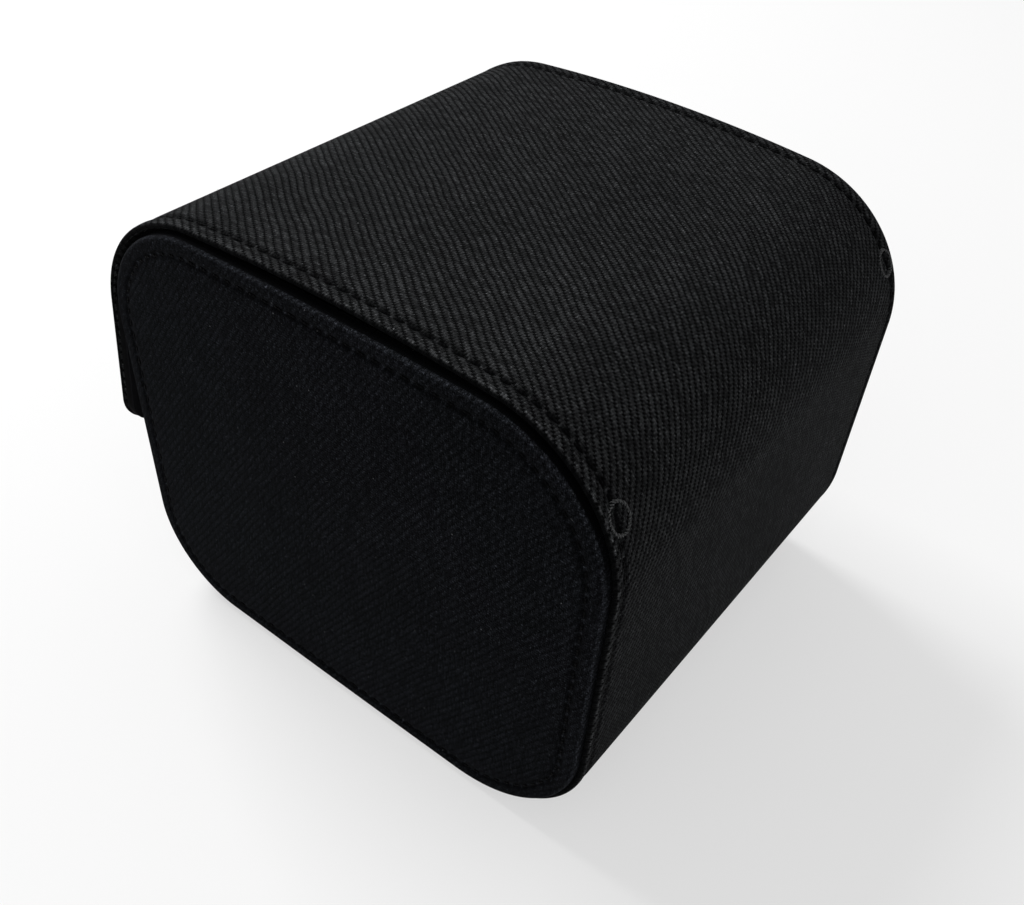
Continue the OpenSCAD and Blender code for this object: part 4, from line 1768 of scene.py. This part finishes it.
@dataclass(frozen=True)
class EndPanel:
    """One end of the case: cloth turned over a board, a row of stitches, and suede inside."""

    profile: SideProfile
    finishes: Finishes
    side: Side
    face_x: float
    root_x: float
    lining_x: float
    seam: Seam = Seam(groove=0.30, hole=0.12)
    margin: float = 2.75
    rim_r: float = 0.8
    crown: float = 0.35
    wall: float = 0.7
    step: float = 0.5
    rim_steps: int = 7
    fill_steps: int = 12

    # Insets of the face's rings: along the seam as first, last and step, and the ones beyond
    SEWN_STEPS = (1.0, 4.2, 0.17)
    BEYOND = (4.8, 5.6, 7.0)
    WALL_STEPS = 4
    # The back's edge wall is free of painted shade up to the first height, and the painted shade comes in
    # over the second number; elsewhere the wall is all in painted shade
    WALL_LIT_TO = 60.0
    WALL_SOFT = 8.0
    # Inset and reach of the painted highlight along the rim's fold
    LIT_AT = 0.2
    # The lining: its step, its soft edge and its inset
    LINING_STEP = 1.5
    LINING_SOFT = 0.2
    LINING_INSET = 0.35
    # Share of the flat size that the panel's rounded shape takes
    ROUNDED = 0.93

    @property
    def middle(self) -> tuple[float, float]:
        """Middle of the panel's face."""
        return (0.0, self.profile.crown_z / 2)

    @property
    def surface(self) -> PanelSurface:
        """The panel's outer face."""
        return PanelSurface(self.face_x, self.side, self.crown, self.middle, self.profile.back_y)

    def ring(self, outline: Outline, run: Array, inset: float) -> Array:
        """The panel's outline drawn in by a distance.

        Args:
            outline: The rim's outline.
            run: Places along it.
            inset: The distance.

        Returns:
            The points (y, z).
        """
        points, normals = outline.at(run)
        return points - normals * inset

    def cloth(self, outline: Outline, holes: Array) -> Faces:
        """The panel's cloth: its back, up its edge, over its rim and across its face.

        Args:
            outline: The rim's outline.
            holes: Needle holes of the row of stitches.

        Returns:
            A closed shell.
        """
        run = np.linspace(0, outline.length, round(outline.length / self.step), endpoint=False)
        height = self.face_x - self.root_x
        plan = [(self.wall, self.wall), (self.wall, height)]
        plan += [(0.0, float(depth)) for depth in np.linspace(height, self.rim_r, self.WALL_STEPS)]
        for turn in np.linspace(0, math.pi / 2, self.rim_steps + 1)[1:]:
            plan.append((self.rim_r * (1 - math.cos(turn)), self.rim_r * (1 - math.sin(turn))))
        flat_from = len(plan)
        plan += [(float(inset), 0.0) for inset in (*np.arange(*self.SEWN_STEPS), *self.BEYOND)]
        rings, flats, edges, seams = [], [], [], []
        rim = self.ring(outline, run, 0.0)
        at_back = np.clip((rim[:, 1] - self.WALL_LIT_TO) / self.WALL_SOFT, 0.0, 1.0)
        wall_shade = np.where(rim[:, 0] > 0, at_back, 1.0)
        for i, (inset, depth) in enumerate(plan):
            here = self.ring(outline, run, inset)
            off = np.full(len(run), inset - self.margin)
            gaps = self.seam.hole_gaps(off, here, holes)
            pull = self.seam.pull(off, gaps) if i >= flat_from else 0.0
            # Painted shade: along the stitches on the face, and on the edge wall and back
            seams.append(self.seam.shade(off, gaps) if depth < self.rim_r else wall_shade)
            rings.append(self.surface.place(here, depth + pull + np.zeros(len(run))))
            flats.append(self.ring(outline, run, inset - depth))
            # Painted highlight along the rim's fold and on the puckers between stitches
            lit = float(np.exp(-(((inset - self.LIT_AT) / self.LIT_AT) ** 2))) * (depth < self.rim_r)
            raised = self.seam.puckers(off, gaps) if i >= flat_from else np.zeros(len(run))
            edges.append(lit + raised)
        middle = np.array(self.middle)
        inner_ring = self.ring(outline, run, plan[-1][0])
        for share in np.linspace(1, 0, self.fill_steps, endpoint=False)[1:]:
            here = middle + (inner_ring - middle) * share
            rings.append(self.surface.place(here, np.zeros(len(run))))
            flats.append(here)
            edges.append(np.zeros(len(run)))
            seams.append(np.zeros(len(run)))
        ends = np.concatenate([self.surface.place(middle[None], np.full(1, depth))
                               for depth in (self.wall + self.crown, 0.0)])
        shape = stack_rings(np.stack(rings), np.stack(flats), ends)
        shape.flat = shape.flat * np.array([self.side.value, -1.0])
        shape.edge = np.concatenate([*edges, np.zeros(2)])
        shape.seam = np.concatenate([*seams, np.zeros(2)])
        return shape

    def lining(self, outline: Outline) -> Faces:
        """The suede on the panel's inside, a thin plate with soft edges.

        Args:
            outline: The rim's outline.

        Returns:
            The plate.
        """
        run = np.linspace(0, outline.length, round(outline.length / self.LINING_STEP), endpoint=False)
        thick, soft, inset = self.root_x - self.lining_x, self.LINING_SOFT, self.LINING_INSET
        plan = [(inset, 0.0), (inset, thick - soft), (inset + soft / 3, thick - soft / 3),
                (inset + soft, thick)]
        surface = PanelSurface(self.root_x, self.side, 0.0, self.middle, 1.0)
        here = [self.ring(outline, run, inset) for inset, _ in plan]
        rings = [surface.place(ring, np.full(len(run), depth)) for ring, (_, depth) in zip(here, plan)]
        return stack_rings(np.stack(rings), np.stack(here))

    def build(self) -> None:
        """Builds the panel's cloth, stitches and lining."""
        name = self.side.name.lower()
        outline = self.profile.panel()
        holes = spaced_holes(outline, 0, outline.length, self.seam.pitch, self.margin)[:-1]
        shape = self.cloth(outline, holes)
        cloth = make_piece(f"{name}_panel_cloth", shape, self.finishes.panel, smooth_to=60)
        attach(cloth, Body.CASE.value)
        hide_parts(f"{name}_panel_cover")
        threads = self.seam.sew(self.surface, holes, seed=31, close=True)
        sewn = make_piece(f"{name}_panel_stitches", threads, self.finishes.panel_thread)
        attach(sewn, Body.CASE.value)
        lining = make_piece(f"{name}_panel_suede", self.lining(outline), self.finishes.suede)
        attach(lining, Body.CASE.value)
        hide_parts(f"{name}_panel_lining")
        LOG.info("%s panel: rim %.1f mm long, %d stitches", name, outline.length, len(holes))


# ---------------------------------------------------------------- tacks, stud and pillow

# Radius of a turned solid's ring on its axis
AXIS_R = 1e-3


@dataclass(frozen=True)
class HingeTack:
    """A ring of over-sewn thread that ends the hinge line at one edge."""

    cloth: StripCloth
    side: Side
    middle_in: float = 2.8
    below: float = 1.52
    across: float = 2.1
    along: float = 2.45
    stitches: int = 26
    thread_r: float = 0.115
    rise: float = 0.10
    dive: float = 0.32

    STEPS = 9
    SIDES = 7
    ARCH = 0.6
    # Each stitch runs on under the next, and inwards by a share of the ring
    OVERLAP = 1.5
    INWARDS = 0.20
    UNEVEN = 0.02
    SEED = 41

    def build(self) -> None:
        """Builds the ring, centred on the tack's place below the hinge line."""
        name = self.side.name.lower()
        run = self.cloth.hinge_run - self.below
        x = self.side.value * (self.cloth.half - self.middle_in)
        random = np.random.default_rng(self.SEED + self.side.value)
        share = np.linspace(0, 1, self.STEPS)
        flats, depths = [], []
        for i in range(self.stitches):
            angle = (i + share * self.OVERLAP) * math.tau / self.stitches
            out = 1 - self.INWARDS * share + random.normal(0, self.UNEVEN)
            across, along = self.across * out * np.cos(angle), self.along * out * np.sin(angle)
            flats.append(np.stack([x + across, run + along], axis=1))
            depths.append(self.dive - (self.dive + self.rise) * np.sin(math.pi * share) ** self.ARCH)
        flat, depth = np.stack(flats), np.stack(depths)
        surface = self.cloth.surface
        middle = surface.place(flat, depth)
        outer = surface.place(flat, depth - 1.0) - middle
        threads = tubes(middle, outer, np.full(self.STEPS, self.thread_r), self.SIDES)
        ring = make_piece(f"{name}_tack_thread", threads, self.cloth.finishes.tack)
        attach(ring, Body.CASE.value)
        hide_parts(f"{name}_hinge_tack")
        LOG.info("%s tack: %d stitches", name, self.stitches)


def lathe(profile: Array, steps: int = 72) -> Faces:
    """A turned solid from a profile of radius and height.

    Args:
        profile: Points (radius, height) from the axis out and back to the axis.
        steps: Number of steps round.

    Returns:
        The solid, round local Z.
    """
    turn = np.linspace(0, math.tau, steps, endpoint=False)
    ring = np.stack([np.cos(turn), np.sin(turn)], axis=1)
    rows = [np.concatenate([max(r, AXIS_R) * ring, np.full((steps, 1), h)], axis=1) for r, h in profile]
    points = np.stack(rows)
    return stack_rings(points, points[..., :2])


@dataclass(frozen=True)
class PressStud:
    """The press stud: cap and socket on the tongue, stud and rivet on the front wall."""

    profile: SideProfile
    finishes: Finishes
    drop: float = 15.0
    press_angle: float = 5.0
    cap_r: float = 5.2
    cap_h: float = 1.5
    bead: float = 0.35
    socket_r: float = 4.2
    bore_r: float = 2.8
    ring_h: float = 0.5
    wall: float = 0.5
    floor: float = 0.3
    knob_r: float = 2.1
    knob_h: float = 1.5
    flange_r: float = 4.4
    flange_t: float = 0.35
    post_r: float = 1.2

    # The cap: its dome's steps, width as a share, height at its edge and curve, then its bead's steps,
    # height and the angles that it runs between
    DOME_STEPS = 16
    DOME_SHARE = 0.86
    DOME_EDGE = 0.55
    DOME_CURVE = 2.2
    BEAD_STEPS = 9
    BEAD_Z = 0.35
    BEAD_TURN = (math.pi * 0.7, -math.pi * 0.35)
    # The knob: how much narrower its neck is, its lip's share of its height and how far it curls under,
    # the neck's foot and the dimple as offsets, and the flange's rim as (inset, share of thickness)
    UNDERCUT = 0.3
    LIP_SHARE = 0.3
    LIP_STEPS = 9
    CURL = math.pi * 0.62
    FOOT = (0.25, 0.1)
    DIMPLE = (0.25, 0.06, 0.12)
    RIM = ((0.35, 1.0), (0.1, 0.75), (0.0, 0.35), (0.0, 0.0))
    # The socket: radius and steps of its rolled ring, and how far its floor is dished
    ROLL_R = 0.22
    ROLL_STEPS = 6
    DISH = 0.15
    # The spring wires: points and sides, radius, gap beside the knob, bow, reach and depth below the ring
    WIRE_STEPS = 9
    WIRE_SIDES = 8
    WIRE_R = 0.16
    WIRE_GAP = 0.1
    WIRE_BOW = 0.25
    WIRE_REACH = 0.98
    WIRE_SUNK = 0.62
    SMOOTH_TO = 35

    def stand(self, shape: Faces, foot: Array, outward: Array) -> Faces:
        """Stands a turned solid on a wall.

        Args:
            shape: The solid, round local Z.
            foot: Where its origin goes, as (y, z).
            outward: The wall's outward normal, as (y, z).

        Returns:
            The solid in place.
        """
        y, z = outward
        axes = np.stack([[1.0, 0.0, 0.0], np.cross([0.0, y, z], [1.0, 0.0, 0.0]), [0.0, y, z]])
        placed = shape.points @ axes + np.array([0.0, *foot])
        return outwards(Faces(placed, shape.quads, shape.flat, shape.caps))

    def cap_profile(self) -> Array:
        """A domed cap with a rolled bead round its edge.

        Returns:
            Points (radius, height).
        """
        share = np.linspace(0, 1, self.DOME_STEPS)
        fall = self.cap_h - self.DOME_EDGE
        dome = [(self.cap_r * self.DOME_SHARE * s, self.cap_h - fall * s**self.DOME_CURVE) for s in share]
        bead = [(self.cap_r - self.bead + self.bead * math.cos(a), self.BEAD_Z + self.bead * math.sin(a))
                for a in np.linspace(*self.BEAD_TURN, self.BEAD_STEPS)]
        return np.array([*dome, *bead, (self.cap_r - self.bead, 0.0), (0.0, 0.0)])

    def stud_profile(self) -> Array:
        """A knob with an undercut neck, on a flange.

        Returns:
            Points (radius, height).
        """
        neck, lip = self.knob_r - self.UNDERCUT, self.knob_h * self.LIP_SHARE
        inset, edge, middle = self.DIMPLE
        dimple = [(0.0, self.knob_h - middle), (self.knob_r - lip - inset, self.knob_h - edge)]
        crown = [(self.knob_r - lip + lip * math.sin(a), self.knob_h - lip + lip * math.cos(a))
                 for a in np.linspace(0, self.CURL, self.LIP_STEPS)]
        out, up = self.FOOT
        foot = [(neck, self.knob_h - 2 * lip), (neck, self.flange_t + up), (neck + out, self.flange_t)]
        rim = [(self.flange_r - inset, self.flange_t * share) for inset, share in self.RIM]
        return np.array([*dimple, *crown, *foot, *rim, (0.0, 0.0)])

    def socket_profile(self) -> Array:
        """A rolled ring round a blind bore, seen from the lining's side.

        Returns:
            Points (radius, height).
        """
        top, r, out = self.ring_h, self.ROLL_R, self.bore_r + self.wall
        quarter = np.linspace(0, math.pi / 2, self.ROLL_STEPS)
        roll = [(self.socket_r - r + r * math.cos(a), top - r + r * math.sin(a)) for a in quarter]
        lip = [(self.bore_r + r - r * math.cos(a), top - r + r * math.sin(a)) for a in quarter[::-1]]
        back, depth = self.profile.inner_t, self.profile.inner_t - self.floor
        return np.array([(0.0, -back), (out, -back), (out, 0.0), (self.socket_r, 0.0), *roll, *lip,
                         (self.bore_r, -depth), (self.post_r, -depth), (0.0, -depth + self.DISH)])

    def build(self) -> None:
        """Builds the cap, the socket and the knob, and the socket's spring wires."""
        profile, metal = self.profile, self.finishes.metal
        normal, lean = profile.tongue_normal, math.radians(profile.tongue_lean)
        seat = profile.fold - self.drop * np.array([math.sin(lean), math.cos(lean)])
        lining = seat - profile.depth * normal
        mouth = seat - (profile.depth + self.ring_h) * normal
        turn = math.radians(self.press_angle)
        spin = np.array([[math.cos(turn), -math.sin(turn)], [math.sin(turn), math.cos(turn)]])
        pressed = profile.fold + spin @ (mouth - profile.fold)
        foot = pressed + profile.wall_normal * (profile.wall_distance - float(profile.wall_normal @ pressed))
        parts = (
            ("stud_cap", self.cap_profile(), seat, normal, Body.TONGUE, "snap_cap"),
            ("stud_socket", self.socket_profile(), lining, -normal, Body.TONGUE, "snap_socket"),
            ("stud_knob", self.stud_profile(), foot, profile.wall_normal, Body.CASE, "snap_stud"),
        )
        for name, outline, place, outward, body, node in parts:
            shape = self.stand(lathe(outline), place, outward)
            piece = make_piece(name, shape, metal, smooth_to=self.SMOOTH_TO)
            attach(piece, body.value)
            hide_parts(node)
        piece = make_piece("stud_spring_wires", self.spring_wires(lining, -normal), metal)
        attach(piece, Body.TONGUE.value)
        LOG.info("press stud: cap at z %.1f mm, knob at z %.1f mm", seat[1], foot[1])

    def spring_wires(self, foot: Array, outward: Array) -> Faces:
        """The socket's two spring wires, which grip the knob's neck.

        Args:
            foot: Where the socket stands, as (y, z).
            outward: The outward normal of the face that it stands on, as (y, z).

        Returns:
            Both wires as one mesh.
        """
        run = np.linspace(-1, 1, self.WIRE_STEPS)
        lines = []
        for sign in (-1, 1):
            x = sign * (self.knob_r + self.WIRE_GAP + self.WIRE_BOW * np.abs(run) ** 3)
            y = run * math.sqrt(self.bore_r**2 - self.knob_r**2) * self.WIRE_REACH
            lines.append(np.stack([x, y, np.full(len(run), self.ring_h - self.WIRE_SUNK)], axis=1))
        middle = np.stack(lines)
        outer = np.broadcast_to(np.array([0.0, 0.0, 1.0]), middle.shape)
        wires = tubes(middle, outer, np.full(len(run), self.WIRE_R), self.WIRE_SIDES)
        return self.stand(wires, foot, outward)


@dataclass(frozen=True)
class Pillow:
    """The padded pillow that a watch is strapped round."""

    finishes: Finishes
    length: float
    depth: float
    height: float
    floor_z: float
    square: float = 2.6
    seam_in: float = 4.0
    flat: float = 0.5
    steps: int = 160
    cord_r: float = 0.75

    BODY_STEPS = 75
    DOME_STEPS = 12
    # How far a seam draws the skin in close by and further off, each with its reach
    PINCH = (0.9, 0.9)
    SAG = (0.35, 5.0)
    # Wrinkles beside a seam: height and reach, the waves of two kinds round the pillow, what shifts
    # them along it, and the second kind's share
    WRINKLE = (0.16, 6.0)
    WAVES = (23, 41)
    SHIFTS = (1.3, 0.05)
    SECOND = 0.6
    # Uneven stuffing: height, waves along and waves round. The slack is what the skin lies in by
    LOFT = ((0.14, 0.16, 2), (0.10, 0.31, -3))
    SLACK = 0.35
    CORD_IN = 0.55
    CORD_SIDES = 10
    SMOOTH_TO = 70

    @property
    def seam_x(self) -> float:
        """Distance of both seams from the pillow's middle."""
        return self.length / 2 - self.seam_in

    def section(self, inset: float) -> Array:
        """The pillow's outline at an inset, flat where it rests.

        Args:
            inset: Distance inside its skin.

        Returns:
            Points (y, z), of shape (n, 2).
        """
        turn = np.linspace(0, math.tau, self.steps, endpoint=False)
        c, s = np.cos(turn), np.sin(turn)
        y = (self.depth / 2 - inset) * np.sign(c) * np.abs(c) ** (2 / self.square)
        z = (self.height / 2 - inset) * np.sign(s) * np.abs(s) ** (2 / self.square)
        z = np.maximum(z, self.flat - self.height / 2 + inset)
        return np.stack([y, z + self.floor_z + self.height / 2 - self.flat], axis=1)

    def skin(self) -> Faces:
        """The pillow's skin: a crowned sleeve drawn in at both seams, with domed ends.

        Returns:
            The skin.
        """
        body = np.linspace(-self.seam_x, self.seam_x, self.BODY_STEPS)
        quarter = np.linspace(0, math.pi / 2, self.DOME_STEPS)[1:]
        end = self.seam_x + self.seam_in * np.sin(quarter)
        drawn = 2 * self.seam_in * (1 - np.cos(quarter))
        xs = np.concatenate([-end[::-1], body, end])
        insets = np.concatenate([drawn[::-1], np.zeros(len(body)), drawn])
        points = []
        for x, inset in zip(xs, insets):
            from_seam = abs(abs(x) - self.seam_x)
            pinch = (self.PINCH[0] * math.exp(-((from_seam / self.PINCH[1]) ** 2))
                     + self.SAG[0] * math.exp(-from_seam / self.SAG[1]))
            line = self.section(inset + pinch)
            out = line - line.mean(axis=0)
            out /= np.linalg.norm(out, axis=1, keepdims=True)
            line = line + out * self.relief(x, from_seam)[:, None]
            line[:, 1] = np.maximum(line[:, 1], self.floor_z)
            points.append(np.concatenate([np.full((self.steps, 1), x), line], axis=1))
        rings = np.stack(points)
        return stack_rings(rings, rings[..., :2])

    def relief(self, x: float, from_seam: float) -> Array:
        """How far the skin stands out round one ring, by wrinkles and uneven stuffing.

        Args:
            x: The ring's place along the pillow.
            from_seam: Its distance from the nearer seam.

        Returns:
            The distances.
        """
        turn = np.linspace(0, math.tau, self.steps, endpoint=False)
        (first, second), (to_side, along) = self.WAVES, self.SHIFTS
        waves = (np.sin(first * turn + to_side * np.sign(x))
                 + self.SECOND * np.sin(second * turn + along * x))
        fold = self.WRINKLE[0] * math.exp(-from_seam / self.WRINKLE[1]) * waves
        loft = sum(height * np.sin(along * x + across * turn) for height, along, across in self.LOFT)
        return fold + loft - self.SLACK

    def piping(self, x: float) -> Faces:
        """A covered cord that follows the seam at one end.

        Args:
            x: The seam's place along the pillow.

        Returns:
            The cord.
        """
        line = self.section(self.CORD_IN)
        line[:, 1] = np.maximum(line[:, 1], self.floor_z + self.cord_r)
        middle = np.concatenate([np.full((self.steps, 1), x), line], axis=1)
        along = np.roll(middle, -1, axis=0) - np.roll(middle, 1, axis=0)
        along /= np.linalg.norm(along, axis=1, keepdims=True)
        side = np.array([1.0, 0.0, 0.0])
        up = np.cross(along, side)
        turn = np.linspace(0, math.tau, self.CORD_SIDES, endpoint=False)
        points = (middle[:, None] + self.cord_r * (np.cos(turn)[None, :, None] * side
                                                   + np.sin(turn)[None, :, None] * up[:, None]))
        points[..., 2] = np.maximum(points[..., 2], self.floor_z)
        at = np.arange(self.steps * self.CORD_SIDES).reshape(self.steps, self.CORD_SIDES)
        after = np.roll(at, -1, axis=0)
        quads = np.stack([at, np.roll(at, -1, axis=1), np.roll(after, -1, axis=1), after], axis=-1)
        points = points.reshape(-1, 3)
        return outwards(Faces(points, quads.reshape(-1, 4), points[:, :2].copy()))

    def build(self) -> None:
        """Builds the pillow and its piping."""
        skin = make_piece("pillow_cushion", self.skin(), self.finishes.pillow, smooth_to=self.SMOOTH_TO)
        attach(skin, Body.CASE.value)
        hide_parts("pillow_sleeve", "pillow_core", "pillow_end_right", "pillow_end_left")
        for side in Side:
            shape = self.piping(side.value * self.seam_x)
            cord = make_piece(f"pillow_piping_{side.name.lower()}", shape, self.finishes.suede)
            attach(cord, Body.CASE.value)
        LOG.info("pillow: %.1f x %.1f x %.1f mm", self.length, self.depth, self.height)


# ---------------------------------------------------------------- lint


@dataclass(frozen=True)
class Lint:
    """Short pale fibres that cling to the cloth."""

    finishes: Finishes
    radius: float = 0.014
    rings: int = 8

    # Shortest length and what is added at most; the power keeps most fibres short
    LENGTH = (0.25, 1.6)
    SHORTNESS = 4
    CURL = 0.28
    # Height over the cloth at a fibre's ends, and what its middle adds at most
    HEIGHT = (0.05, 0.10)
    SIDES = 4
    # How many lie on the lid, the back and each panel, and how far they keep from folds and edges
    COUNTS = (60, 40, 60)
    OFF_EDGE = 1
    OFF_HINGE = 5
    OFF_TIP = 40
    BACK_REACH = 45
    PANEL_AREA = ((-36.0, 10.0), (36.0, 68.0))
    SEED = 51

    def scatter(self, strip: StripCloth, panels: Sequence[EndPanel]) -> None:
        """Scatters fibres on the lid, the back and both panels.

        Args:
            strip: The strip's cloth.
            panels: The end panels.
        """
        on_lid, on_back, on_panel = self.COUNTS
        half, hinge, end = strip.half - self.OFF_EDGE, strip.hinge_run, strip.outline.length
        low, high = np.array([-half, hinge + self.OFF_HINGE]), np.array([half, end - self.OFF_TIP])
        self.on("lint_lid", strip.surface, low, high, on_lid, Body.LID, self.SEED)
        low, high = np.array([-half, hinge - self.BACK_REACH]), np.array([half, hinge - self.OFF_HINGE])
        self.on("lint_back", strip.surface, low, high, on_back, Body.CASE, self.SEED + 1)
        low, high = np.array(self.PANEL_AREA)
        for panel in panels:
            name = f"lint_{panel.side.name.lower()}_panel"
            self.on(name, panel.surface, low, high, on_panel, Body.CASE, self.SEED + 2)

    def on(self, name: str, surface: Surface, low: Array, high: Array, count: int, body: Body,
           seed: int) -> None:
        """Scatters fibres on a stretch of cloth.

        Args:
            name: The piece's name.
            surface: The face that they lie on.
            low: Lowest flat coordinates.
            high: Highest flat coordinates.
            count: Number of fibres.
            body: The body that carries them.
            seed: Seed of their places.
        """
        random = np.random.default_rng(seed)
        start = low + (high - low) * random.random((count, 2))
        shortest, added = self.LENGTH
        length = shortest + added * random.random(count) ** self.SHORTNESS
        heading = math.tau * random.random(count)
        curl = random.normal(0, self.CURL, (count, self.rings)).cumsum(axis=1)
        angle = heading[:, None] + curl
        step = (length / self.rings)[:, None, None] * np.stack([np.cos(angle), np.sin(angle)], axis=-1)
        flat = start[:, None] + step.cumsum(axis=1)
        low_end, rise = self.HEIGHT
        arch = np.abs(np.sin(np.linspace(0, math.pi, self.rings)))
        depth = -low_end - rise * arch[None] * random.random((count, 1))
        middle = surface.place(flat, depth)
        outer = surface.place(flat, depth - 1.0) - middle
        shape = tubes(middle, outer, np.full(self.rings, self.radius), self.SIDES)
        piece = make_piece(name, shape, self.finishes.lint)
        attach(piece, body.value)
        LOG.info("%s: %d fibres", name, count)


# ---------------------------------------------------------------- studio


@dataclass(frozen=True)
class Studio:
    """Plain pale floor, soft lamps and the camera at the photograph's place."""

    camera_at: tuple[float, float, float] = (127.10, 86.84, 160.60)
    azimuth: float = 124.17
    elevation: float = 40.99
    roll: float = 5.16
    lens: float = 39.32
    sensor: float = 36.0
    floor_half: float = 4000.0
    floor_shade: float = 0.84
    room_light: float = 0.45

    CLIP = (0.01, 20.0)
    WHITE = (1.0, 1.0, 1.0, 1.0)
    FLOOR_ROUGHNESS = 0.9
    FLOOR_SPECULAR = 0.1
    # How much of the floor is plain white to the rays that show it
    FLOOR_GLOW = 0.55
    # Name, place and side in metres, and power in watts of each lamp, and what both face
    LAMPS = (
        ("key", (-0.10, -0.80, 0.85), 0.55, 12.0),
        ("fill", (1.0, 0.15, 0.9), 1.0, 2.4),
    )
    LAMPS_FACE = (0, 0, 0.04)

    def camera(self) -> None:
        """Makes the camera."""
        a, e, r = (math.radians(v) for v in (self.azimuth, self.elevation, self.roll))
        back = Vector((math.sin(a) * math.cos(e), -math.cos(a) * math.cos(e), math.sin(e)))
        right = Vector((0, 0, 1)).cross(back).normalized()
        up = back.cross(right)
        across = math.cos(r) * right + math.sin(r) * up
        above = -math.sin(r) * right + math.cos(r) * up
        data = bpy.data.cameras.new("camera")
        data.sensor_width, data.lens = self.sensor, self.lens
        data.clip_start, data.clip_end = self.CLIP
        made = bpy.data.objects.new("camera", data)
        place = Matrix((across, above, back)).transposed().to_4x4()
        place.translation = Vector(self.camera_at) * MM
        made.matrix_world = place
        bpy.context.scene.collection.objects.link(made)
        bpy.context.scene.camera = made

    def floor(self) -> None:
        """Makes the pale floor, which keeps the object's shadow."""
        h = self.floor_half
        corners = np.array([(-h, -h, 0), (h, -h, 0), (h, h, 0), (-h, h, 0)], float)
        quad = np.array([[0, 1, 2, 3]])
        bench = NodeBench("pale_floor")
        nodes = bench.tree.nodes
        bench.shader.inputs["Base Color"].default_value = (self.floor_shade,) * 3 + (1.0,)
        bench.shader.inputs["Roughness"].default_value = self.FLOOR_ROUGHNESS
        bench.shader.inputs["Specular IOR Level"].default_value = self.FLOOR_SPECULAR
        glow = bench.node("Emission")
        glow.inputs["Color"].default_value = self.WHITE
        rays = bench.node("LightPath")
        seen = bench.maths("MAXIMUM", rays.outputs["Is Camera Ray"],
                           bench.maths("MAXIMUM", rays.outputs["Is Glossy Ray"],
                                       rays.outputs["Is Transmission Ray"]))
        mix = bench.node("MixShader")
        bench.feed(mix.inputs[0], bench.maths("MULTIPLY", seen, self.FLOOR_GLOW))
        bench.feed(mix.inputs[1], bench.shader.outputs[0])
        bench.feed(mix.inputs[2], glow.outputs[0])
        bench.feed(nodes["Material Output"].inputs["Surface"], mix.outputs[0])
        floor = make_piece("floor", Faces(corners, quad, corners[:, :2]), bench.material)

    def lamp(self, name: str, place: tuple[float, float, float], size: float, power: float) -> None:
        """Makes one soft square lamp that faces the object.

        Args:
            name: The lamp's name.
            place: Where it is, in metres.
            size: Its side, in metres.
            power: Its power, in watts.
        """
        data = bpy.data.lights.new(name, "AREA")
        data.shape, data.size, data.energy = "SQUARE", size, power
        made = bpy.data.objects.new(name, data)
        made.location = place
        aim = Vector(self.LAMPS_FACE) - Vector(place)
        made.rotation_mode = "QUATERNION"
        made.rotation_quaternion = aim.to_track_quat("-Z", "Y")
        bpy.context.scene.collection.objects.link(made)

    def build(self) -> None:
        """Builds the studio."""
        scene = bpy.context.scene
        scene.view_settings.view_transform = "Standard"
        world = bpy.data.worlds.new("soft_room")
        scene.world = world
        world.use_nodes = True
        tree = world.node_tree
        sky = tree.nodes["Background"]
        sky.inputs["Color"].default_value = self.WHITE
        rays = tree.nodes.new("ShaderNodeLightPath")
        level = tree.nodes.new("ShaderNodeMapRange")
        level.inputs["To Min"].default_value = self.room_light
        level.inputs["To Max"].default_value = 1.0
        tree.links.new(rays.outputs["Is Camera Ray"], level.inputs["Value"])
        tree.links.new(level.outputs["Result"], sky.inputs["Strength"])
        for lamp in self.LAMPS:
            self.lamp(*lamp)
        self.floor()
        self.camera()
        LOG.info("studio: floor, two lamps and a camera")


def dress_boards(finishes: Finishes) -> None:
    """Gives the boards and the rivet, which stay as they were packed, their finishes.

    Args:
        finishes: The finishes of every piece.
    """
    for name, node in frame["nodes"].items():
        finish = finishes.board if name.endswith("_board") else None
        finish = finishes.metal if name == "snap_rivet" else finish
        if finish is None or not node.material_slots:
            continue
        for place in node.material_slots:
            place.material = finish
        LOG.info("dressed %s", name)


def main() -> None:
    """Builds every sub-assembly in order and reports it."""
    logging.basicConfig(level=logging.INFO, format="%(relativeCreated)d ms %(name)s: %(message)s")
    wrap_low, wrap_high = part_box("wrap_cover")
    _, lid_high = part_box("lid_cover")
    panel_low, panel_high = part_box("right_panel_cover")
    lining_low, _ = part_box("right_panel_lining")
    sleeve_low, sleeve_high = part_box("pillow_sleeve")
    _, end_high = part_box("pillow_end_right")
    _, lid_lining_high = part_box("lid_lining")
    _, wrap_lining_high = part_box("wrap_lining")

    finishes = Finishes()
    profile = SideProfile(back_y=wrap_high.y / MM, crown_z=lid_high.z / MM)
    Studio().build()
    strip = StripCloth(profile, finishes, half=wrap_high.x / MM)
    strip.build()
    StripLining(strip, wrap_lining_high.x / MM, lid_lining_high.x / MM).build()
    panels = [EndPanel(profile, finishes, side, panel_high.x / MM, panel_low.x / MM, lining_low.x / MM)
              for side in Side]
    for panel in panels:
        panel.build()
        HingeTack(strip, panel.side).build()
    PressStud(profile, finishes).build()
    pillow_y = (sleeve_high.y - sleeve_low.y) / MM
    pillow_z = (sleeve_high.z - sleeve_low.z) / MM + Pillow.flat
    Pillow(finishes, 2 * end_high.x / MM, pillow_y, pillow_z, sleeve_low.z / MM).build()
    dress_boards(finishes)
    Lint(finishes).scatter(strip, panels)


if __name__ == "__main__":
    main()
